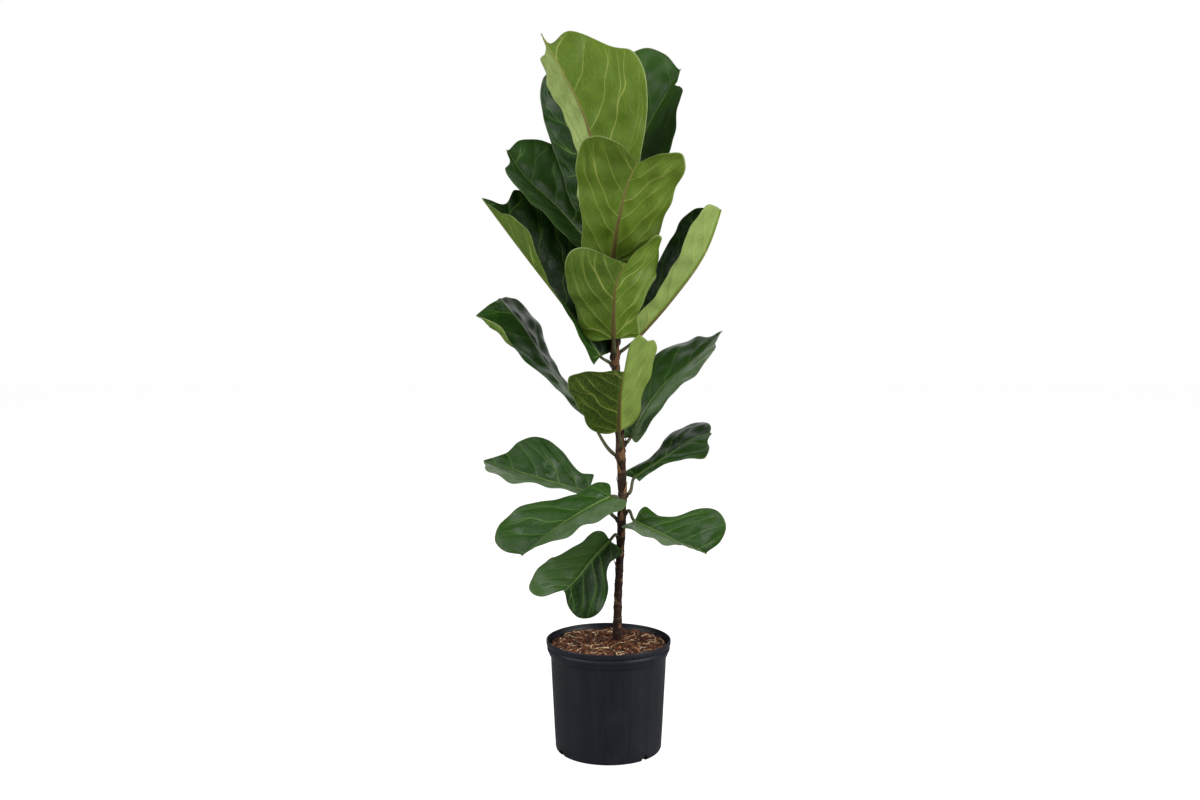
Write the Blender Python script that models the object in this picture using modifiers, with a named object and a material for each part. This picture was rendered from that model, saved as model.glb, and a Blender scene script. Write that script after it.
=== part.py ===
"""A potted fiddle leaf fig: nursery pot, potting mix, woody stem, terminal bud and leaves.

Sizes are in millimetres and become metres as each mesh is made. The origin is the middle of
the pot's flat base, +Z is up and -Y is the front. Azimuths are degrees from +X towards +Y.
"""
import math

import bmesh
import bpy
import numpy as np
from mathutils import Vector

MM = 0.001
GAP = 0.3  # clearance between pieces that touch

POT_HEIGHT = 227.0
POT_RIM_RADIUS = 127.0
POT_BASE_RADIUS = 107.6
POT_WALL = 2.0
POT_SIDES = 40
COLLAR_HEIGHT = 31.0
DRAIN_PITCH = 360.0 / 7
DRAIN_FIRST = 42.0  # degrees to the right of the front
DRAIN_COUNT = 6  # the seventh place, at the front, has no hole
DRAIN_RADIUS = 7.5

SOIL_TOP = 213.0
SOIL_RELIEF = 3.5
SOIL_RINGS = 9
SOIL_SEED = 7

STEM_PATH = (  # x, y, z, radius, from the buried foot to the growing tip
    (17, 0, 130, 9.5),
    (17, 0, 205, 9.5),
    (17, 0, 222, 9.5),
    (18, 0, 245, 8.8),
    (19, 0, 306, 7.8),
    (22, 0, 371, 7.6),
    (26, 0, 453, 8.4),
    (28, 0, 535, 8.3),
    (26, 0, 584, 8.7),
    (23, 0, 632, 8.4),
    (18, 0, 713, 7.8),
    (15, 0, 773, 7.6),
    (11, 0, 815, 7.8),
    (6, 0, 893, 6.8),
    (1, 0, 973, 6.4),
    (-5, 0, 1042, 5.8),
    (-11, 0, 1102, 5.2),
    (-14, 0, 1128, 4.6),
)
STEM_SAMPLES = 26
STUB_LENGTH = 7.0  # leaf cushion, from the stem's bark to the petiole's foot
STUB_RISE = 35.0
STUB_FOOT_RADIUS = 5.5
BUD_LENGTH = 30.0
BUD_LEAN = -8.0

PETIOLE_RADIUS = 3.2
PETIOLE_FLARE = 1.25  # at the cushion
PETIOLE_RINGS = 3
BLADE_THICKNESS = 0.7
RIB_DEPTH = 2.2
RIB_REACH = 9.0  # over which the two halves' thickness directions blend
COLUMNS = (-1.0, -0.72, -0.42, -0.12, 0.0, 0.12, 0.42, 0.72, 1.0)
ROW_SWEEP = 1.6
WAVE_SIZE = 3.0  # swing of the margin, out of the blade
WAVE_COUNT = 3.0  # from base to tip
ROLL_FROM = 0.6  # of the half width, where a rolled margin begins to turn
WAVE_TURN = 0.37  # of a wave, for each millimetre of a leaf's height on the stem

# Half of a blade's outline, as row's start on the midrib, distance across (of the half width)
# and along (of the length): round an ear, in at the waist, out to the broad end, and the tip.
OUTLINE = (
    (0.00, 0.05, -0.02),
    (0.02, 0.30, -0.06),
    (0.06, 0.46, -0.01),
    (0.13, 0.47, 0.12),
    (0.21, 0.46, 0.26),
    (0.32, 0.60, 0.42),
    (0.44, 0.84, 0.58),
    (0.56, 1.00, 0.74),
    (0.69, 0.96, 0.88),
    (0.82, 0.72, 0.98),
    (0.90, 0.36, 1.00),
    (0.97, 0.05, 1.00),
)
LOBE_SHARE = (0, 0, 0, 0, 0, 0.05, 0.15, 0.4, 0.75, 1.0, 0.8, 0.0)  # of a lobe's extra reach
CROWN_SHARE = (0, 0, 0, 0, 0, 0, 0, 0, 0, 0, 1.0, 0)
WAIST_SHARE = (0, 0, 0.2, 0.7, 1.0, 0.7, 0.2, 0, 0, 0, 0, 0)

# One entry for each leaf, from the top down. "node" is the height of its cushion on the stem,
# "leaves_at" the azimuth of the cushion, "faces" the azimuth towards which the blade runs,
# "half" its half width and "midrib" the blade's midrib from base to tip. "left" and "right"
# are how far each half is folded up at base, middle and tip, seen from the stem. The others
# are pairs, left and right: "curl" folds the margins further, "ears" scales the basal ears,
# "waist" narrows the middle; "broad", "lobes" and "crown" move the widest place, the shoulders
# and the edge beside the tip tipwards; "notch" moves the last edge before the tip back
# and "roll" curls the margin further near the tip.
LEAF_HABIT = {"curl": (0, 0), "ears": (1, 1), "waist": (0, 0), "broad": (0, 0), "lobes": (0, 0),
              "crown": (0, 0), "notch": (0, 0), "roll": (0, 0)}
LEAVES = {
    "leaf_01_top_front": {
        "node": 1096, "leaves_at": 265, "faces": 255, "half": 141,
        "midrib": ((-16, -30, 1116), (-46, -64, 1260), (-84, -88, 1336), (-124, -99, 1404)),
        "left": (0, 2, 0), "right": (30, 48, 62), "curl": (18, 0), "ears": (0.5, 0.3),
        "waist": (-0.35, 0.1), "broad": (-0.09, 0), "lobes": (-0.24, -0.04),
        "crown": (0.1, -0.03),
    },
    "leaf_02_top_back": {
        "node": 1090, "leaves_at": 60, "faces": 70, "half": 136,
        "midrib": ((16, 40, 1120), (76, 92, 1262), (112, 112, 1327), (150, 124, 1392)),
        "left": (-15, -5, 0), "right": (10, 38, 56), "curl": (0, 5), "ears": (0.3, 0.5),
        "waist": (-0.3, -0.7), "broad": (0, -0.08), "lobes": (0.07, -0.2),
    },
    "leaf_03_top_left": {
        "node": 1066, "leaves_at": 140, "faces": 100, "half": 66,
        "midrib": ((-36, 30, 1100), (-58, 84, 1238), (-84, 118, 1372)),
        "left": (0, -15, -20), "right": (0, 10, 20), "ears": (0.6, 0.2), "waist": (-0.5, 0.3),
        "lobes": (0.08, 0),
    },
    "leaf_04_left_upper": {
        "node": 985, "leaves_at": 160, "faces": 165, "half": 105,
        "midrib": ((-28, 24, 1015), (-107, 66, 1106), (-180, 86, 1178), (-208, 92, 1222)),
        "left": (-15, -10, 0), "right": (60, 55, 45), "ears": (0.4, 0.3), "waist": (-0.5, -0.3),
        "lobes": (-0.15, 0.02), "crown": (0, 0.02),
    },
    "leaf_05_front_upper": {
        "node": 955, "leaves_at": 285, "faces": 275, "half": 111,
        "midrib": ((6, -28, 988), (18, -75, 1060), (32, -120, 1120), (52, -165, 1165)),
        "left": (10, 15, 10), "right": (0, 22, 14), "curl": (10, 16), "ears": (1, 0.5),
        "waist": (-0.7, -0.35), "broad": (-0.1, 0), "lobes": (0.15, 0.12),
    },
    "leaf_06_left": {
        "node": 780, "leaves_at": 185, "faces": 182, "half": 110,
        "midrib": ((-17, -8, 802), (-80, -10, 891), (-165, -10, 1000), (-250, -5, 1112)),
        "left": (-28, 3, 15), "right": (60, 62, 50), "curl": (10, 10), "ears": (0.2, 0.3),
        "waist": (0.1, -0.7), "lobes": (-0.15, -0.02), "crown": (0, -0.06),
    },
    "leaf_07_front_middle": {
        "node": 800, "leaves_at": 268, "faces": 272, "half": 106,
        "midrib": ((10, -28, 838), (10, -70, 900), (16, -105, 950), (32, -125, 980)),
        "left": (0, 20, 40), "right": (0, 14, 8), "curl": (10, 10), "ears": (0.2, 0.5),
        "waist": (0, -0.5), "lobes": (0.32, -0.04), "crown": (0.1, 0), "notch": (-0.1, 0),
    },
    "leaf_08_right": {
        "node": 802, "leaves_at": 5, "faces": 5, "half": 92,
        "midrib": ((60, 4, 840), (122, 5, 909), (196, 0, 1014), (224, 0, 1092)),
        "left": (46, 48, 46), "right": (45, 38, 34), "curl": (0, 5), "ears": (0.5, 0.5),
        "waist": (-0.7, -0.2), "broad": (-0.08, 0), "lobes": (-0.01, 0),
    },
    "leaf_09_left_middle": {
        "node": 594, "leaves_at": 190, "faces": 158, "half": 92,
        "midrib": ((-44, 12, 684), (-120, 34, 776), (-182, 55, 870), (-224, 70, 918)),
        "left": (5, -16, -57), "right": (0, -10, 0), "curl": (20, 10), "waist": (0, 0.1),
        "lobes": (0.01, 0), "roll": (105, 0),
    },
    "leaf_10_front_lower": {
        "node": 612, "leaves_at": 272, "faces": 270, "half": 102,
        "midrib": ((20, -40, 656), (21, -110, 720), (27, -185, 778)),
        "left": (40, 45, 52), "right": (0, 0, 0), "waist": (-0.3, -0.5), "lobes": (0.12, 0),
        "crown": (0.3, 0), "notch": (-0.42, 0),
    },
    "leaf_11_right_middle": {
        "node": 618, "leaves_at": 15, "faces": 12, "half": 92,
        "midrib": ((46, 10, 640), (105, 20, 735), (190, 30, 810), (230, 35, 850)),
        "left": (40, 29, 5), "right": (-10, -8, 10), "ears": (1, 0.5), "waist": (-0.3, -0.3),
        "broad": (-0.08, 0), "lobes": (-0.1, -0.12),
    },
    "leaf_12_right_lower": {
        "node": 515, "leaves_at": 350, "faces": 20, "half": 75,
        "midrib": ((54, 5, 557), (122, 22, 600), (172, 35, 630), (210, 45, 642)),
        "left": (20, 12, 14), "right": (-5, -14, -20), "ears": (1.2, 0.2), "waist": (0.1, 0.45),
        "lobes": (0.08, -0.13),
    },
    "leaf_13_left_lower": {
        "node": 465, "leaves_at": 165, "faces": 165, "half": 86,
        "midrib": ((-42, 20, 524), (-140, 40, 549), (-210, 50, 570), (-256, 55, 582)),
        "left": (4, -4, 2), "right": (60, 60, 50), "ears": (1, 0.1), "waist": (0.1, 0.1),
        "broad": (0, -0.2), "lobes": (-0.05, -0.2),
    },
    "leaf_14_left_low_front": {
        "node": 508, "leaves_at": 222, "faces": 215, "half": 88,
        "midrib": ((3, -25, 521), (-42, -60, 503), (-105, -95, 468), (-168, -120, 420)),
        "left": (-18, 3, 28), "right": (44, 38, 34), "ears": (1, 1.4), "waist": (-0.5, 0),
        "lobes": (-0.1, 0.1),
    },
    "leaf_15_right_lowest": {
        "node": 480, "leaves_at": 335, "faces": 335, "half": 87,
        "midrib": ((52, -28, 473), (98, -60, 455), (140, -80, 438), (190, -100, 420)),
        "left": (45, 54, 70), "right": (-12, 5, 20), "ears": (0.5, 0.1), "waist": (0.15, -0.25),
        "lobes": (0.12, -0.1),
    },
    "leaf_16_lowest": {
        "node": 432, "leaves_at": 225, "faces": 215, "half": 77,
        "midrib": ((2, -20, 431), (-32, -42, 399), (-63, -60, 363), (-89, -68, 338)),
        "left": (-50, -58, -60), "right": (32, 32, 32), "ears": (0.4, 1), "waist": (0.1, -0.2),
        "lobes": (0.12, 0.35),
    },
    "leaf_17_back_upper": {
        "node": 1030, "leaves_at": 50, "faces": 72, "half": 82,
        "midrib": ((30, 50, 1056), (42, 100, 1115), (50, 145, 1165), (56, 200, 1190)),
        "left": (10, 10, 5), "right": (15, 15, 10), "curl": (10, 10), "ears": (0.5, 0.5),
    },
    "leaf_18_back_middle": {
        "node": 872, "leaves_at": 64, "faces": 92, "half": 80,
        "midrib": ((24, 56, 908), (20, 106, 965), (8, 152, 1010), (0, 210, 1035)),
        "left": (10, 15, 10), "right": (30, 15, 5), "curl": (10, 10), "ears": (0.2, 0.2),
        "waist": (0.2, 0.4),
    },
    "leaf_19_back_lower": {
        "node": 690, "leaves_at": 110, "faces": 92, "half": 60,
        "midrib": ((6, 44, 708), (4, 95, 730), (6, 145, 736), (8, 190, 722)),
        "left": (15, 10, 0), "right": (10, 10, 0), "curl": (5, 5), "ears": (0.5, 0.5),
    },
}
LEAVES = {name: {**LEAF_HABIT, **leaf} for name, leaf in LEAVES.items()}


def smooth_path(points, first_tangent=None, per_span=16):
    """Dense points on a smooth curve through the given ones, and where each of those lies."""
    points = np.asarray(points, float)
    chords = np.linalg.norm(np.diff(points, axis=0), axis=1)
    at = np.concatenate([[0.0], np.cumsum(chords)])
    slopes = np.diff(points, axis=0) / chords[:, None]
    tangents = np.zeros_like(points)
    for i in range(1, len(points) - 1):
        before, after = chords[i - 1], chords[i]
        tangents[i] = (slopes[i - 1] * after + slopes[i] * before) / (before + after)
    tangents[0] = 1.5 * slopes[0] - 0.5 * tangents[1]
    tangents[-1] = 1.5 * slopes[-1] - 0.5 * tangents[-2]
    if first_tangent is not None:
        tangents[0] = first_tangent
    dense = [points[0]]
    for i, chord in enumerate(chords):
        for u in np.linspace(0, 1, per_span + 1)[1:]:
            a, b = 2 * u**3 - 3 * u**2 + 1, u**3 - 2 * u**2 + u
            c, d = 3 * u**2 - 2 * u**3, u**3 - u**2
            dense.append(a * points[i] + b * chord * tangents[i]
                         + c * points[i + 1] + d * chord * tangents[i + 1])
    return np.array(dense), np.arange(len(points)) * per_span


def lengths_along(path):
    return np.concatenate([[0.0], np.cumsum(np.linalg.norm(np.diff(path, axis=0), axis=1))])


def sample(path, lengths, distance):
    """The points at the given distances along a path, which runs on straight past its ends."""
    distance = np.asarray(distance, float)
    points = np.stack([np.interp(distance, lengths, path[:, k]) for k in range(3)], -1)
    start = (path[0] - path[1]) / np.linalg.norm(path[0] - path[1])
    end = (path[-1] - path[-2]) / np.linalg.norm(path[-1] - path[-2])
    before = np.clip(-distance, 0, None)[..., None]
    beyond = np.clip(distance - lengths[-1], 0, None)[..., None]
    return points + start * before + end * beyond


def unit(vectors):
    return vectors / np.linalg.norm(vectors, axis=-1, keepdims=True)


def stem_point(height):
    """The stem's axis and radius at a height."""
    table = np.array(STEM_PATH, float)
    return np.array([np.interp(height, table[:, 2], table[:, k]) for k in (0, 1, 2, 3)])


def stub_frame(leaf):
    """Where a leaf's cushion ends on the stem, and the way it points."""
    x, y, z, radius = stem_point(leaf["node"])
    azimuth = math.radians(leaf["leaves_at"])
    rise = math.radians(STUB_RISE)
    way = np.array([math.cos(azimuth) * math.cos(rise), math.sin(azimuth) * math.cos(rise),
                    math.sin(rise)])
    return np.array([x, y, z]) + way * (radius + STUB_LENGTH), way


def through_three(values, along):
    """A smooth value along the blade from those at its base, middle and tip."""
    base, middle, tip = values
    t = np.clip(along, -0.1, 1.1)
    return base * (1 - t) * (1 - 2 * t) + 4 * middle * t * (1 - t) + tip * t * (2 * t - 1)


def blade_points(leaf, start, across, along, side):
    """Centre-surface points and upward normals of one side of a blade.

    start, across and along are arrays of the same shape: across is 0 at the midrib and 1 at
    the half width, along is 0 at the base and 1 at the tip.
    """
    path = smooth_path(leaf["midrib"])[0]
    lengths = lengths_along(path)
    here = sample(path, lengths, along * lengths[-1])
    step = 0.01 * lengths[-1]
    tangent = unit(sample(path, lengths, along * lengths[-1] + step)
                   - sample(path, lengths, along * lengths[-1] - step))
    azimuth = math.radians(leaf["faces"])
    level = np.array([math.sin(azimuth), -math.cos(azimuth), 0.0])
    sideways = unit(level - (tangent @ level)[..., None] * tangent)
    upward = np.cross(sideways, tangent)
    which = 1 if side > 0 else 0
    fold = np.radians(through_three(leaf["right" if which else "left"], along))
    curl = np.radians(leaf["curl"][which]) + 1e-4
    inner = np.minimum(across, ROLL_FROM)
    bend = fold + curl * inner
    tipwards = np.clip((along - 0.4) / 0.4, 0, 1)
    roll = (curl + np.radians(leaf["roll"][which]) * tipwards**2 * (3 - 2 * tipwards)
            / (1 - ROLL_FROM))
    angle = bend + roll * (across - inner)
    reach = ((np.sin(bend) - np.sin(fold)) / curl
             + (np.sin(angle) - np.sin(bend)) / roll) * leaf["half"]
    rise = ((np.cos(fold) - np.cos(bend)) / curl
            + (np.cos(bend) - np.cos(angle)) / roll) * leaf["half"]
    normal = (-side * np.sin(angle))[..., None] * sideways + np.cos(angle)[..., None] * upward
    phase = WAVE_TURN * leaf["node"] + 0.25 * side
    wave = WAVE_SIZE * across**1.5 * np.sin(2 * math.pi * (WAVE_COUNT * along + phase))
    return (here + (side * reach)[..., None] * sideways + rise[..., None] * upward
            + wave[..., None] * normal), normal


def outline_rows(leaf, side):
    """The rows of one side: start on the midrib, distance across and along at the margin."""
    start, across, along = np.array(OUTLINE).T
    which = 1 if side > 0 else 0
    across = across * (1 - leaf["waist"][which] * np.array(WAIST_SHARE))
    along = np.where(along < 0, along * leaf["ears"][which], along)
    along = along + leaf["broad"][which] * np.sin(np.pi * np.clip(along, 0, 1))
    along = along + leaf["lobes"][which] * np.array(LOBE_SHARE)
    along = along + leaf["crown"][which] * np.array(CROWN_SHARE)
    along[-1] -= leaf["notch"][which]
    return start, across, along


def blade_rings(leaf):
    """The closed cross-sections of a blade, upper face left to right and lower face back."""
    columns = np.array(COLUMNS)
    upper, lower = [], []
    for column in columns:
        side = 1 if column >= 0 else -1
        start, across, along = outline_rows(leaf, side)
        q = abs(column)
        points, normals = blade_points(leaf, start, across * q,
                                       start + (along - start) * q**ROW_SWEEP, side)
        middle = sum(blade_points(leaf, start, across * 0, start, way)[1] for way in (-1, 1))
        away = np.clip(across * q * leaf["half"] / RIB_REACH, 0, 1)[:, None]
        normals = unit(normals * away + unit(middle) * (1 - away))
        rib = RIB_DEPTH * math.exp(-(q / 0.1) ** 2) * (1 - 0.75 * start)
        upper.append(points + normals * BLADE_THICKNESS / 2)
        lower.append(points - normals * (BLADE_THICKNESS / 2 + rib)[:, None])
    return [np.array([u[row] for u in upper] + [v[row] for v in reversed(lower)])
            for row in range(len(OUTLINE))]


def petiole_rings(leaf):
    """Round cross-sections from just past the cushion up to the blade."""
    end, way = stub_frame(leaf)
    foot = end + way * GAP
    base = np.array(leaf["midrib"][0], float)
    onward = unit(smooth_path(leaf["midrib"])[0][1] - base)
    reach = np.linalg.norm(base - foot)
    azimuth = math.radians(leaf["faces"])
    level = np.array([math.sin(azimuth), -math.cos(azimuth), 0.0])
    turns = np.radians(np.concatenate([np.linspace(170, 10, 9), np.linspace(-10, -170, 9)]))
    rings = []
    for step in range(PETIOLE_RINGS):
        u = step / PETIOLE_RINGS
        centre = ((2 * u**3 - 3 * u**2 + 1) * foot + (u**3 - 2 * u**2 + u) * reach * way
                  + (3 * u**2 - 2 * u**3) * base + (u**3 - u**2) * reach * onward)
        tangent = unit((6 * u**2 - 6 * u) * (foot - base) + (3 * u**2 - 4 * u + 1) * reach * way
                       + (3 * u**2 - 2 * u) * reach * onward)
        sideways = unit(level - (tangent @ level) * tangent)
        upward = np.cross(sideways, tangent)
        radius = PETIOLE_RADIUS * (PETIOLE_FLARE - (PETIOLE_FLARE - 1) * min(1.0, 2 * u))
        rings.append(centre + radius * (np.cos(turns)[:, None] * sideways
                                        + np.sin(turns)[:, None] * upward))
    return rings


def mesh_object(name, collection, material, vertices, faces):
    mesh = bpy.data.meshes.new(name)
    mesh.from_pydata([Vector(v) * MM for v in vertices], [], faces)
    mesh.update()
    piece = bpy.data.objects.new(name, mesh)
    collection.objects.link(piece)
    mesh.materials.append(material)
    return piece


def loft(rings):
    """Vertices and triangles of a closed solid through rings of equal length."""
    count = len(rings[0])
    vertices = [tuple(point) for ring in rings for point in ring]
    faces = []
    for row in range(len(rings) - 1):
        for column in range(count):
            a = row * count + column
            b = row * count + (column + 1) % count
            c, d = b + count, a + count
            upper_face = column < count // 2
            faces += [(a, b, c), (a, c, d)] if upper_face else [(a, b, d), (b, c, d)]
    last = (len(rings) - 1) * count
    half = count // 2
    for first, turned in ((0, True), (last, False)):
        for column in range(half - 1):
            a, b = first + column, first + column + 1
            c, d = first + count - 2 - column, first + count - 1 - column
            quad = [(a, b, c), (a, c, d)]
            faces += [tuple(reversed(face)) for face in quad] if turned else quad
    return vertices, faces


def make_leaf(name, leaf, collection, material):
    vertices, faces = loft(petiole_rings(leaf) + blade_rings(leaf))
    piece = mesh_object(name, collection, material, vertices, faces)
    piece.data.shade_smooth()
    return piece


def turned(name, collection, material, profile, sides):
    """A turned solid from its profile in x and z, which runs down the outer side."""
    mesh = bpy.data.meshes.new(name)
    edges = [(i, i + 1) for i in range(len(profile) - 1)]
    mesh.from_pydata([(x * MM, 0.0, z * MM) for x, z in profile], edges, [])
    piece = bpy.data.objects.new(name, mesh)
    collection.objects.link(piece)
    mesh.materials.append(material)
    screw = piece.modifiers.new("turn", "SCREW")
    screw.steps = screw.render_steps = sides
    screw.use_merge_vertices = True
    screw.merge_threshold = 0.0001
    return piece


def cut(piece, cutter, name):
    cutter.hide_render = True
    cutter.display_type = "WIRE"
    modifier = piece.modifiers.new(name, "BOOLEAN")
    modifier.operation = "DIFFERENCE"
    modifier.object = cutter


def bake(piece):
    """Turn an object's modifiers or curve into its own plain mesh, with loose caps welded."""
    bpy.context.view_layer.update()
    evaluated = piece.evaluated_get(bpy.context.evaluated_depsgraph_get())
    mesh = bpy.data.meshes.new_from_object(evaluated)
    work = bmesh.new()
    work.from_mesh(mesh)
    bmesh.ops.remove_doubles(work, verts=work.verts, dist=0.00005)
    bmesh.ops.recalc_face_normals(work, faces=work.faces)
    work.to_mesh(mesh)
    work.free()
    return mesh


def pot_outside():
    """The pot's outer side, from the rim's top to the edge of the base."""
    step = POT_HEIGHT - COLLAR_HEIGHT
    rim, wall = POT_RIM_RADIUS, POT_BASE_RADIUS
    return [
        (rim - 1.2, POT_HEIGHT), (rim, POT_HEIGHT - 1.2), (rim - 0.6, POT_HEIGHT - 10),
        (rim - 2.4, POT_HEIGHT - 11.5), (rim - 2.6, POT_HEIGHT - 14), (rim - 1.8, POT_HEIGHT - 15),
        (rim - 2.4, POT_HEIGHT - 21), (rim - 4.2, POT_HEIGHT - 22.5),
        (rim - 5.8, step + 1.0), (rim - 6.6, step), (rim - 9.2, step - 1.0),
        (wall + 0.6, 9.0), (wall - 0.6, 4.5), (wall - 4.0, 1.2), (wall - 8.0, 0.0),
    ]


def make_pot(collection, cutters, material):
    rim, wall = POT_RIM_RADIUS, POT_BASE_RADIUS
    floor = POT_WALL
    inside = [
        (0, floor), (wall - 9.0, floor), (wall - 4.5, 3.6), (wall - 2.4, 7.0),
        (rim - 9.2 - POT_WALL, POT_HEIGHT - COLLAR_HEIGHT - 1.0),
        (rim - 6.6 - POT_WALL, POT_HEIGHT - COLLAR_HEIGHT + 1.6),
        (rim - 4.6 - POT_WALL, POT_HEIGHT - 14), (rim - 3.4, POT_HEIGHT - 8),
        (rim - 3.2, POT_HEIGHT - 0.8), (rim - 2.6, POT_HEIGHT),
    ]
    pot = turned("pot", collection, material, inside + pot_outside() + [(0, 0)], POT_SIDES)
    for hole in range(DRAIN_COUNT):
        angle = math.radians(DRAIN_FIRST + hole * DRAIN_PITCH - 90)
        bpy.ops.mesh.primitive_cylinder_add(vertices=10, radius=DRAIN_RADIUS * MM,
                                            depth=24 * MM)
        cutter = bpy.context.object
        cutter.name = f"drain_cutter_{hole + 1}"
        radius = wall - 2.0
        cutter.location = (radius * math.cos(angle) * MM, radius * math.sin(angle) * MM, 4 * MM)
        cutter.rotation_euler = (0, math.radians(60), angle)
        move_to(cutter, cutters)
        cut(pot, cutter, f"drain_{hole + 1}")
    pot.data.shade_smooth()
    return pot


def move_to(piece, collection):
    for holder in list(piece.users_collection):
        holder.objects.unlink(piece)
    collection.objects.link(piece)


def soil_surface(x, y, noise):
    """Height of the rough mix at a place: a hollow by the wall and a mound round the stem."""
    stem_x, stem_y = STEM_PATH[0][:2]
    mound = 7.0 * math.exp(-((x - stem_x) ** 2 + (y - stem_y) ** 2) / 30.0**2)
    swell = 2.0 * math.sin(0.045 * x + 0.6) * math.cos(0.05 * y - 0.4)
    return SOIL_TOP + mound + swell + SOIL_RELIEF * noise


def make_soil(collection, cutters, material):
    wall = POT_BASE_RADIUS - 2.4 - GAP
    top_radius = POT_RIM_RADIUS - 7.0 - POT_WALL
    rings = [(top_radius * i / SOIL_RINGS, SOIL_TOP) for i in range(SOIL_RINGS + 1)]
    step = POT_HEIGHT - COLLAR_HEIGHT
    side = [
        (POT_RIM_RADIUS - 6.6 - POT_WALL - 0.6, step + 2.0),
        (POT_RIM_RADIUS - 9.2 - POT_WALL - 0.6, step - 1.0),
        (wall - 0.4, 8.0), (wall - 2.8, 4.6), (wall - 7.0, POT_WALL + GAP), (0, POT_WALL + GAP),
    ]
    soil = turned("potting_mix", collection, material, rings + side, POT_SIDES)
    mesh = bake(soil)
    soil.modifiers.clear()
    soil.data = mesh
    draw = np.random.default_rng(SOIL_SEED)
    for vertex in mesh.vertices:
        x, y, z = (value / MM for value in vertex.co)
        if abs(z - SOIL_TOP) < 0.01:
            noise = draw.uniform(-1, 1)
            edge = math.hypot(x, y) > top_radius - 1.0
            vertex.co.z = soil_surface(x, y, 0.2 * noise if edge else noise) * MM
    foot_x, foot_y, foot_z, foot_radius = STEM_PATH[0]
    hole_height = 120.0
    bpy.ops.mesh.primitive_cylinder_add(vertices=16, radius=(foot_radius * 1.03 + GAP) * MM,
                                        depth=hole_height * MM)
    cutter = bpy.context.object
    cutter.name = "stem_hole_cutter"
    cutter.location = (foot_x * MM, foot_y * MM, (foot_z - GAP + hole_height / 2) * MM)
    move_to(cutter, cutters)
    cut(soil, cutter, "stem_hole")
    return soil


def make_stem(collection, material):
    """The woody stem: a swept tube with a cushion under every petiole."""
    table = np.array(STEM_PATH, float)
    parts = bpy.data.collections.new("stem_parts")
    bpy.context.scene.collection.children.link(parts)
    curve = bpy.data.curves.new("stem_curve", "CURVE")
    curve.dimensions = "3D"
    curve.bevel_depth = 1.0
    curve.bevel_resolution = 2
    curve.use_fill_caps = True
    spline = curve.splines.new("POLY")
    heights = np.linspace(table[0, 2], table[-1, 2], STEM_SAMPLES)
    heights = np.unique(np.concatenate([heights, [222.0, 236.0]]))
    spline.points.add(len(heights) - 1)
    for point, height in zip(spline.points, heights):
        x, y, z, radius = stem_point(height)
        point.co = (x * MM, y * MM, z * MM, 1.0)
        point.radius = radius * MM
    tube = bpy.data.objects.new("stem_tube", curve)
    parts.objects.link(tube)
    stem = bpy.data.objects.new("stem", bake(tube))
    collection.objects.link(stem)
    bpy.data.objects.remove(tube)
    for leaf in LEAVES.values():
        end, way = stub_frame(leaf)
        length = stem_point(leaf["node"])[3] + STUB_LENGTH
        bpy.ops.mesh.primitive_cone_add(vertices=7, radius1=STUB_FOOT_RADIUS * MM,
                                        radius2=PETIOLE_RADIUS * PETIOLE_FLARE * MM,
                                        depth=length * MM)
        stub = bpy.context.object
        middle = end - way * length / 2
        stub.location = Vector(middle) * MM
        stub.rotation_euler = Vector(way).to_track_quat("Z", "Y").to_euler()
        move_to(stub, parts)
    join = stem.modifiers.new("cushions", "BOOLEAN")
    join.operation = "UNION"
    join.operand_type = "COLLECTION"
    join.collection = parts
    mesh = bake(stem)
    stem.modifiers.clear()
    stem.data = mesh
    mesh.materials.clear()
    mesh.materials.append(material)
    mesh.shade_smooth()
    for part in list(parts.objects):
        bpy.data.objects.remove(part)
    bpy.data.collections.remove(parts)
    return stem


def make_bud(collection, material):
    """The growing tip, wrapped in its pointed brown sheath."""
    x, y, z = STEM_PATH[-1][:3]
    profile = [(0, BUD_LENGTH), (1.2, BUD_LENGTH * 0.8), (2.8, BUD_LENGTH * 0.5),
               (3.8, BUD_LENGTH * 0.25), (3.4, 0), (0, 0)]
    bud = turned("terminal_bud", collection, material, profile, 10)
    bud.location = (x * MM, y * MM, (z + GAP) * MM)
    bud.rotation_euler = (0, math.radians(BUD_LEAN), 0)
    bud.data.shade_smooth()
    return bud


def finish(name, colour, roughness, metallic=0.0):
    material = bpy.data.materials.new(name)
    material.use_nodes = True
    shader = material.node_tree.nodes["Principled BSDF"]
    shader.inputs["Base Color"].default_value = (*colour, 1.0)
    shader.inputs["Roughness"].default_value = roughness
    shader.inputs["Metallic"].default_value = metallic
    return material


def main():
    for old in list(bpy.data.objects):
        bpy.data.objects.remove(old)
    parts = bpy.data.collections.new("potted_fiddle_leaf_fig")
    cutters = bpy.data.collections.new("cutters")
    for collection in (parts, cutters):
        bpy.context.scene.collection.children.link(collection)
    make_pot(parts, cutters, finish("pot_plastic", (0.015, 0.017, 0.022), 0.42))
    make_soil(parts, cutters, finish("bark_mix", (0.09, 0.045, 0.022), 0.9))
    make_stem(parts, finish("stem_bark", (0.07, 0.035, 0.022), 0.8))
    make_bud(parts, finish("bud_sheath", (0.16, 0.08, 0.035), 0.7))
    for name, leaf in LEAVES.items():
        make_leaf(name, leaf, parts, finish(name, (0.035, 0.1, 0.02), 0.4))


if __name__ == "__main__":
    main()
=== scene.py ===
import math

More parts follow.
